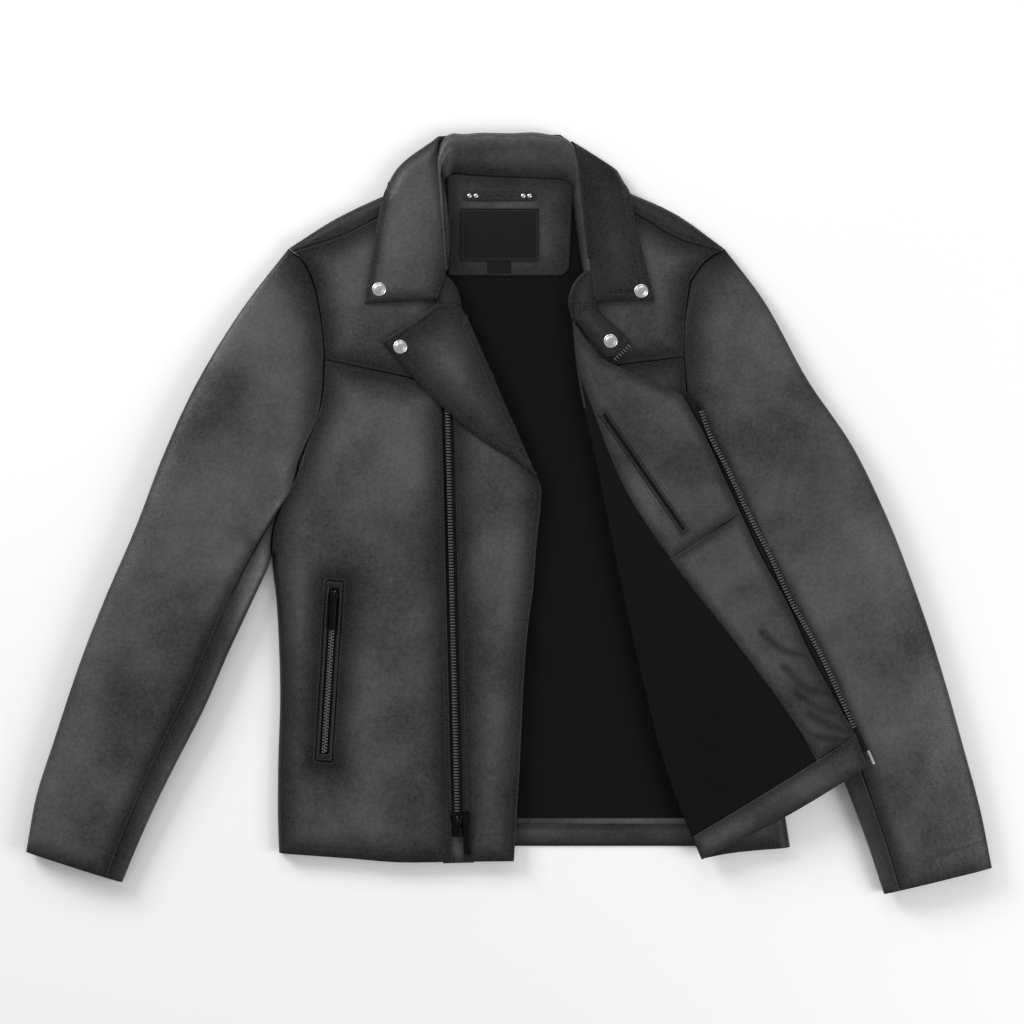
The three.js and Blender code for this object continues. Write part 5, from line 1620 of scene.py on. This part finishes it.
_, low, high = spot_of("main_pull")
tip = np.array([high[0] - PULL_WIDE / 2 - 0.9, (low[1] + high[1]) / 2 - 0.2])
hinge_at = hinge_place("main_pull_swing")[0] / MM
parts = [moved(part, zip_angle, (tip[0], tip[1], 0))
         for part in pull_parts(PULL_LONG, PULL_WIDE, low[2], low[2] + PULL_DEEP)]
bar_z = high[2] - 0.6
parts.append(tube_part([(low[0] + 0.3, hinge_at[1], bar_z), (low[0] + 3, hinge_at[1], bar_z),
        (tip[0] - 1, hinge_at[1], bar_z), (tip[0] + 0.6, hinge_at[1], bar_z - 0.6),
        (tip[0] + 0.8, hinge_at[1], low[2] + 0.8)], 0.6))
gathered("main_zip_pull", parts, "pull", "main_pull", ["main_pull"], crisp=35)
middle, low, high = spot_of("right_pocket_pull")
parts = [moved(part, heading((0, 0), pocket_way[:2]), (middle[0], middle[1], 0))
         for part in pull_parts(34.0, 5.5, low[2], high[2])]
gathered("right_pocket_zip_pull", parts, "pull", "right_pocket_pull", ["right_pocket_pull"], crisp=35)
print("pulls made")

# %% [markdown]
# Each side pocket is a slot framed by a raised leather welt with a closed zip in it. The welt is a panel with a
# hole, its edges rolled over to both sides. Pocket bags hang behind, of thin lining cloth.

# %% Side pockets
WELT_LIFT = 0.5  # how far the welt stands proud of the frame's
TAPE_OUT = -1.5  # the tape reaches this far beyond the slot, under the welt

def pocket(side, how, way):
    node = f"{side}_pocket_welt"
    rims = outlines(node)[:2]
    top = top_of(node) + WELT_LIFT
    height = surface(top, rolled([fair(rims[0])], 2.6, 1.3) + rolled([fair(rims[1])], 2.6, 1.5))
    panel(f"shell_{side}_welt", rims, height, THICK + 0.4, how, nodes=[node], rings=(0.35, 0.8, 1.4, 2.2), pitch=3.0,
          seam_rims=[rims[0]], step=2.5)
    low_end, high_end, low, high = ends_of(f"{side}_pocket_chain", way)
    chain(f"{side}_pocket_teeth", [low_end, high_end], 3.0, low + 0.2, high, how, [f"{side}_pocket_chain"], rows=2)
    panel(f"{side}_pocket_tape", [inset(fair(rims[1]), TAPE_OUT)], surface(low - 0.05), 0.5, how, "tape",
          rings=(0.8,), pitch=4.0)
    plain_panel(f"bag_{side}_pocket", f"{side}_pocket_bag", how, "lining")
    return rims[0]

pockets = {side: pocket(side, "root", way) for side, way in (("right", pocket_way), ("left", left_way))}
print("pockets:", sorted(pockets))

# %% [markdown]
# The inner pocket is a slit in the facing with a narrow welt all round it. A scrap of lining fills the slit, so
# that it looks dark and deep.

# %% Inner pocket
slit_rims = outlines("inner_pocket_welt", DOOR)[:2]
slit_top = node_levels("inner_pocket_welt", DOOR)[1] + 1.0
welt_outer, welt_inner = (fair(rim, 2.0) for rim in slit_rims)
welt_height = surface(slit_top, rolled([welt_outer], 2.2, 1.1) + rolled([welt_inner], 1.6, 1.0))
panel("facing_inner_welt", slit_rims, welt_height, THICK, "left_front",
      "facing", ["inner_pocket_welt"], DOOR, pitch=2.5, rings=(0.35, 0.8, 1.4), step=2.0)
panel("lining_inner_slit", [inset(welt_inner, -0.8)], surface(slit_top - 0.5), 0.4, "left_front", "lining", (), DOOR,
      pitch=2.5, rings=(0.8,))
print("inner slit", areas["lining_inner_slit"], "m2")

# %% [markdown]
# The right front has a lining and a facing on its inner side too. They show only when it opens.

# %% Inside of the right front
plain_panel("lining_right_front", "right_front_lining", "right_front", "lining", wavy=0.1)
plain_panel("facing_right_front", "right_front_facing", "right_front", "facing")
print("inner sheets made")

# %% [markdown]
# Behind the main zip lies a placket, a plain strip of leather that keeps the teeth off the shirt. It also closes
# the slot at the hem, below the zip's box.

# %% Zip placket
chain_low, chain_high, _, _ = ends_of("main_zip_tape_right", zip_way)
PLACKET_WIDTH, PLACKET_DEPTH, BELOW_ZIP, BELOW_TOP = 30.0, 0.9, 25.6, 2
zip_unit = zip_way[:2] / np.linalg.norm(zip_way[:2])
zip_side = np.array([-zip_unit[1], zip_unit[0]]) * PLACKET_WIDTH / 2
foot, head = chain_low - zip_unit * BELOW_ZIP, chain_high - zip_unit * BELOW_TOP
placket_rim = np.array([foot - zip_side, foot + zip_side, head + zip_side, head - zip_side])
placket_top = node_levels("main_zip_tape_right")[0] - 0.2
panel("facing_zip_placket", [placket_rim], surface(placket_top, rolled([fair(placket_rim)], 1.6, 0.5)),
      PLACKET_DEPTH, "right_front", "facing", pitch=5.0)
print("placket", areas["facing_zip_placket"], "m2")

# %% [markdown]
# Rows of stitches. Each row follows a rim a set distance inside it, only where that rim meets another piece or
# runs free, and it takes its height from the piece below it by looking straight down on the finished mesh. The
# thread is black like the hide and shows by the small glints along it.

# %% Where a row runs
def seen_from_above(piece, lay=LEVEL):
    """A height function read off a finished piece."""
    turn = lay.inverted()
    spots = [turn @ (v.co / MM) for v in bpy.data.objects[piece].data.vertices]
    tree = BVHTree.FromPolygons(spots, [list(f.vertices) for f in bpy.data.objects[piece].data.polygons])
    def height(points):
        found = [tree.ray_cast(Vector((x, y, 200.0)), Vector((0, 0, -1)))[0] for x, y in points]
        known = [f.z for f in found if f is not None]
        spare = float(np.mean(known)) if known else 0.0
        return np.array([spare if f is None else f.z for f in found])
    return height

def run_along(rim, far, keep):
    """The longest run of a rim's inset line whose points pass a test."""
    line = inset(fair(rim, 3.0), far)
    kept = keep(line)
    if kept.all():
        return ring(line)
    start = int(np.argmin(kept))
    line, kept = np.roll(line, -start, axis=0), np.roll(kept, -start)
    best, now = [], []
    for point, ok in zip(line, kept):
        now = now + [point] if ok else []
        if len(now) > len(best):
            best = now
    return np.array(best)

def sew(name, rows, piece, how, lay=LEVEL):
    """One mesh of stitches for several rows on a piece."""
    height = seen_from_above(piece, lay)
    parts = []
    for row in rows:
        if len(row) > 1:
            parts += stitch_row(row, height)
    gathered(name, parts, "thread", how, (), lay, 60)
    return len(parts)

def near(line, far):
    """A test for points closer to a line than this."""
    return lambda points: distance(points, line) < far

def meets(rim, far):
    """A test for points closer to another piece's rim than this."""
    return near(ring(fair(rim)), far)

print("row helpers ready")

# %% [markdown]
# Rows on the right front, its yoke and its overlap run beside the yoke seam, on both sides of the zip and along
# the front edge.

# %% Stitches on the right front
zip_line = [chain_low, chain_high]
count = sew("stitches_right_front", [
    run_along(right_main, 3.2, lambda p: (distance(p, ring(yoke_rim)) < 4.6) & (p[:, 1] > 110)),
    run_along(right_main, 4.0, lambda p: (distance(p, zip_line) < 11) & (p[:, 1] < 118)),
    ring(inset(fair(side_rims[1]), -1.8))], "shell_right_front", RIGHT_FOLD)
count += sew("stitches_right_yoke", [
    run_along(right_yoke, 2.2, lambda p: (distance(p, ring(main_rim)) < 3.8) & (p[:, 0] < -60))],
    "shell_right_yoke", RIGHT_FOLD)
count += sew("stitches_right_overlap", [
    run_along(overlap_rim, 4.0, lambda p: (distance(p, zip_line) < 11) & (p[:, 1] < 95)),
    run_along(overlap_rim, 6.0, lambda p: (p[:, 0] > -12) & (p[:, 1] > -325) & (p[:, 1] < 24)
              & (distance(p, zip_line) > 30))], "shell_right_overlap", "right_front")
print("stitches on the right front:", count)

# %% [markdown]
# Leaves and lapels are sewn along their free edges only. Shoulders, left yoke and pocket welts have one row each.

# %% Stitches on the collar, lapels, shoulders and welts
count = 0
for side in ("right", "left"):
    free_edge = lambda p: (distance(p, rolls[side]) > 9) & (distance(p, backs[side]) > 12)
    count += sew(f"stitches_{side}_leaf", [run_along(leaves[side], LEAF_SEAM, free_edge)], f"shell_{side}_leaf",
                 f"{side}_collar")
count += sew("stitches_right_lapel", [run_along(right_lapel, LEAF_SEAM, lambda p: distance(p, right_lapel_roll) > 8)],
             "shell_right_lapel", "right_lapel")
count += sew("stitches_left_lapel", [run_along(left_lapel, 4.0, lambda p: distance(p, left_lapel_roll) > 5)],
             "shell_left_lapel", "left_lapel", DOOR)
for side, rim, meeting in zip(("right", "left"), shoulders, (yoke_rim, left_yoke_rim)):
    count += sew(f"stitches_{side}_shoulder", [run_along(rim, 2.4, near(ring(meeting), 4.4))],
                 f"shell_{side}_shoulder", "root")
count += sew("stitches_left_yoke", [run_along(left_yoke_rim, 2.4, meets(left_rims[0], 4.2))], "shell_left_yoke",
             "root")
for side, outer in pockets.items():
    count += sew(f"stitches_{side}_welt", [ring(inset(fair(outer), 1.9))], f"shell_{side}_welt", "root")
print("stitches on the collar and beside seams:", count)

# %% [markdown]
# Inside, rows run along the lining, the zip, the inner pocket, the hems and the neck facing.

# %% Stitches inside
meets_lining = meets(outlines("left_front_lining", DOOR)[0], 4.6)
meets_zip = meets(outlines("main_zip_tape_left", DOOR)[0], 9)
count = sew("stitches_facing_upper", [
    run_along(upper_rim, 2.2, meets_lining), run_along(upper_rim, 5.5, meets_zip),
    ring(inset(fair(slit_rims[0]), -2.6))], "facing_left_upper", "left_front", DOOR)
count += sew("stitches_facing_lower", [
    run_along(lower_rim, 2.2, meets_lining), run_along(lower_rim, 2.0, meets(upper_rim, 4.0)),
    run_along(lower_rim, 5.5, meets_zip)], "facing_left_lower", "left_front", DOOR)
count += sew("stitches_door_hem", [
    run_along(doorhem_rim, 2.2, meets_lining),
    run_along(doorhem_rim, 3.4, near([(187, -334), (272, -289), HEM_CORNER], 6))],
    "facing_left_hem", "left_front", DOOR)
count += sew("stitches_neck", [ring(inset(neck_rim, 3.0))], "facing_neck", "root")
count += sew("stitches_back_hem", [ring(inset(hem_rim, 2.6))], "facing_back_hem", "root")
count += sew("stitches_inner_welt", [ring(inset(fair(slit_rims[0]), 1.5))], "facing_inner_welt", "left_front", DOOR)
print("stitches inside:", count)

# %% [markdown]
# A sleeve has two rows, one along its back seam and one round the cuff. Both are taken from the tube itself.

# %% Stitches on the sleeves
BESIDE_SEAM, CUFF_ROW = math.radians(2.9), 25.0
for side in ("right", "left"):
    points, _ = tube(side, np.linspace(0.35, 8.95, 60), np.array([BACK_SEAM - BESIDE_SEAM]))
    outer, inner = np.array(OUTER_EDGES[side], float), np.array(INNER_EDGES[side], float)
    knots = lengths((outer + inner) / 2)
    cuff_at = float(np.interp(knots[-1] - CUFF_ROW, knots, np.arange(len(knots))))
    cuff, _ = tube(side, np.array([cuff_at]), np.linspace(math.radians(14), math.radians(166), 30))
    sew(f"stitches_{side}_sleeve", [points[:, :2], cuff[:, :2]], f"shell_{side}_sleeve", sleeve_blend(side))
print("sleeve rows sewn")

# %% [markdown]
# The sheets' areas, in square metres, are printed last. The visual model has to stay in the frame's box,
# apart from a little that soft leather may stand proud.

# %% Print the sheets' areas
print("sheets, in square metres:", areas)
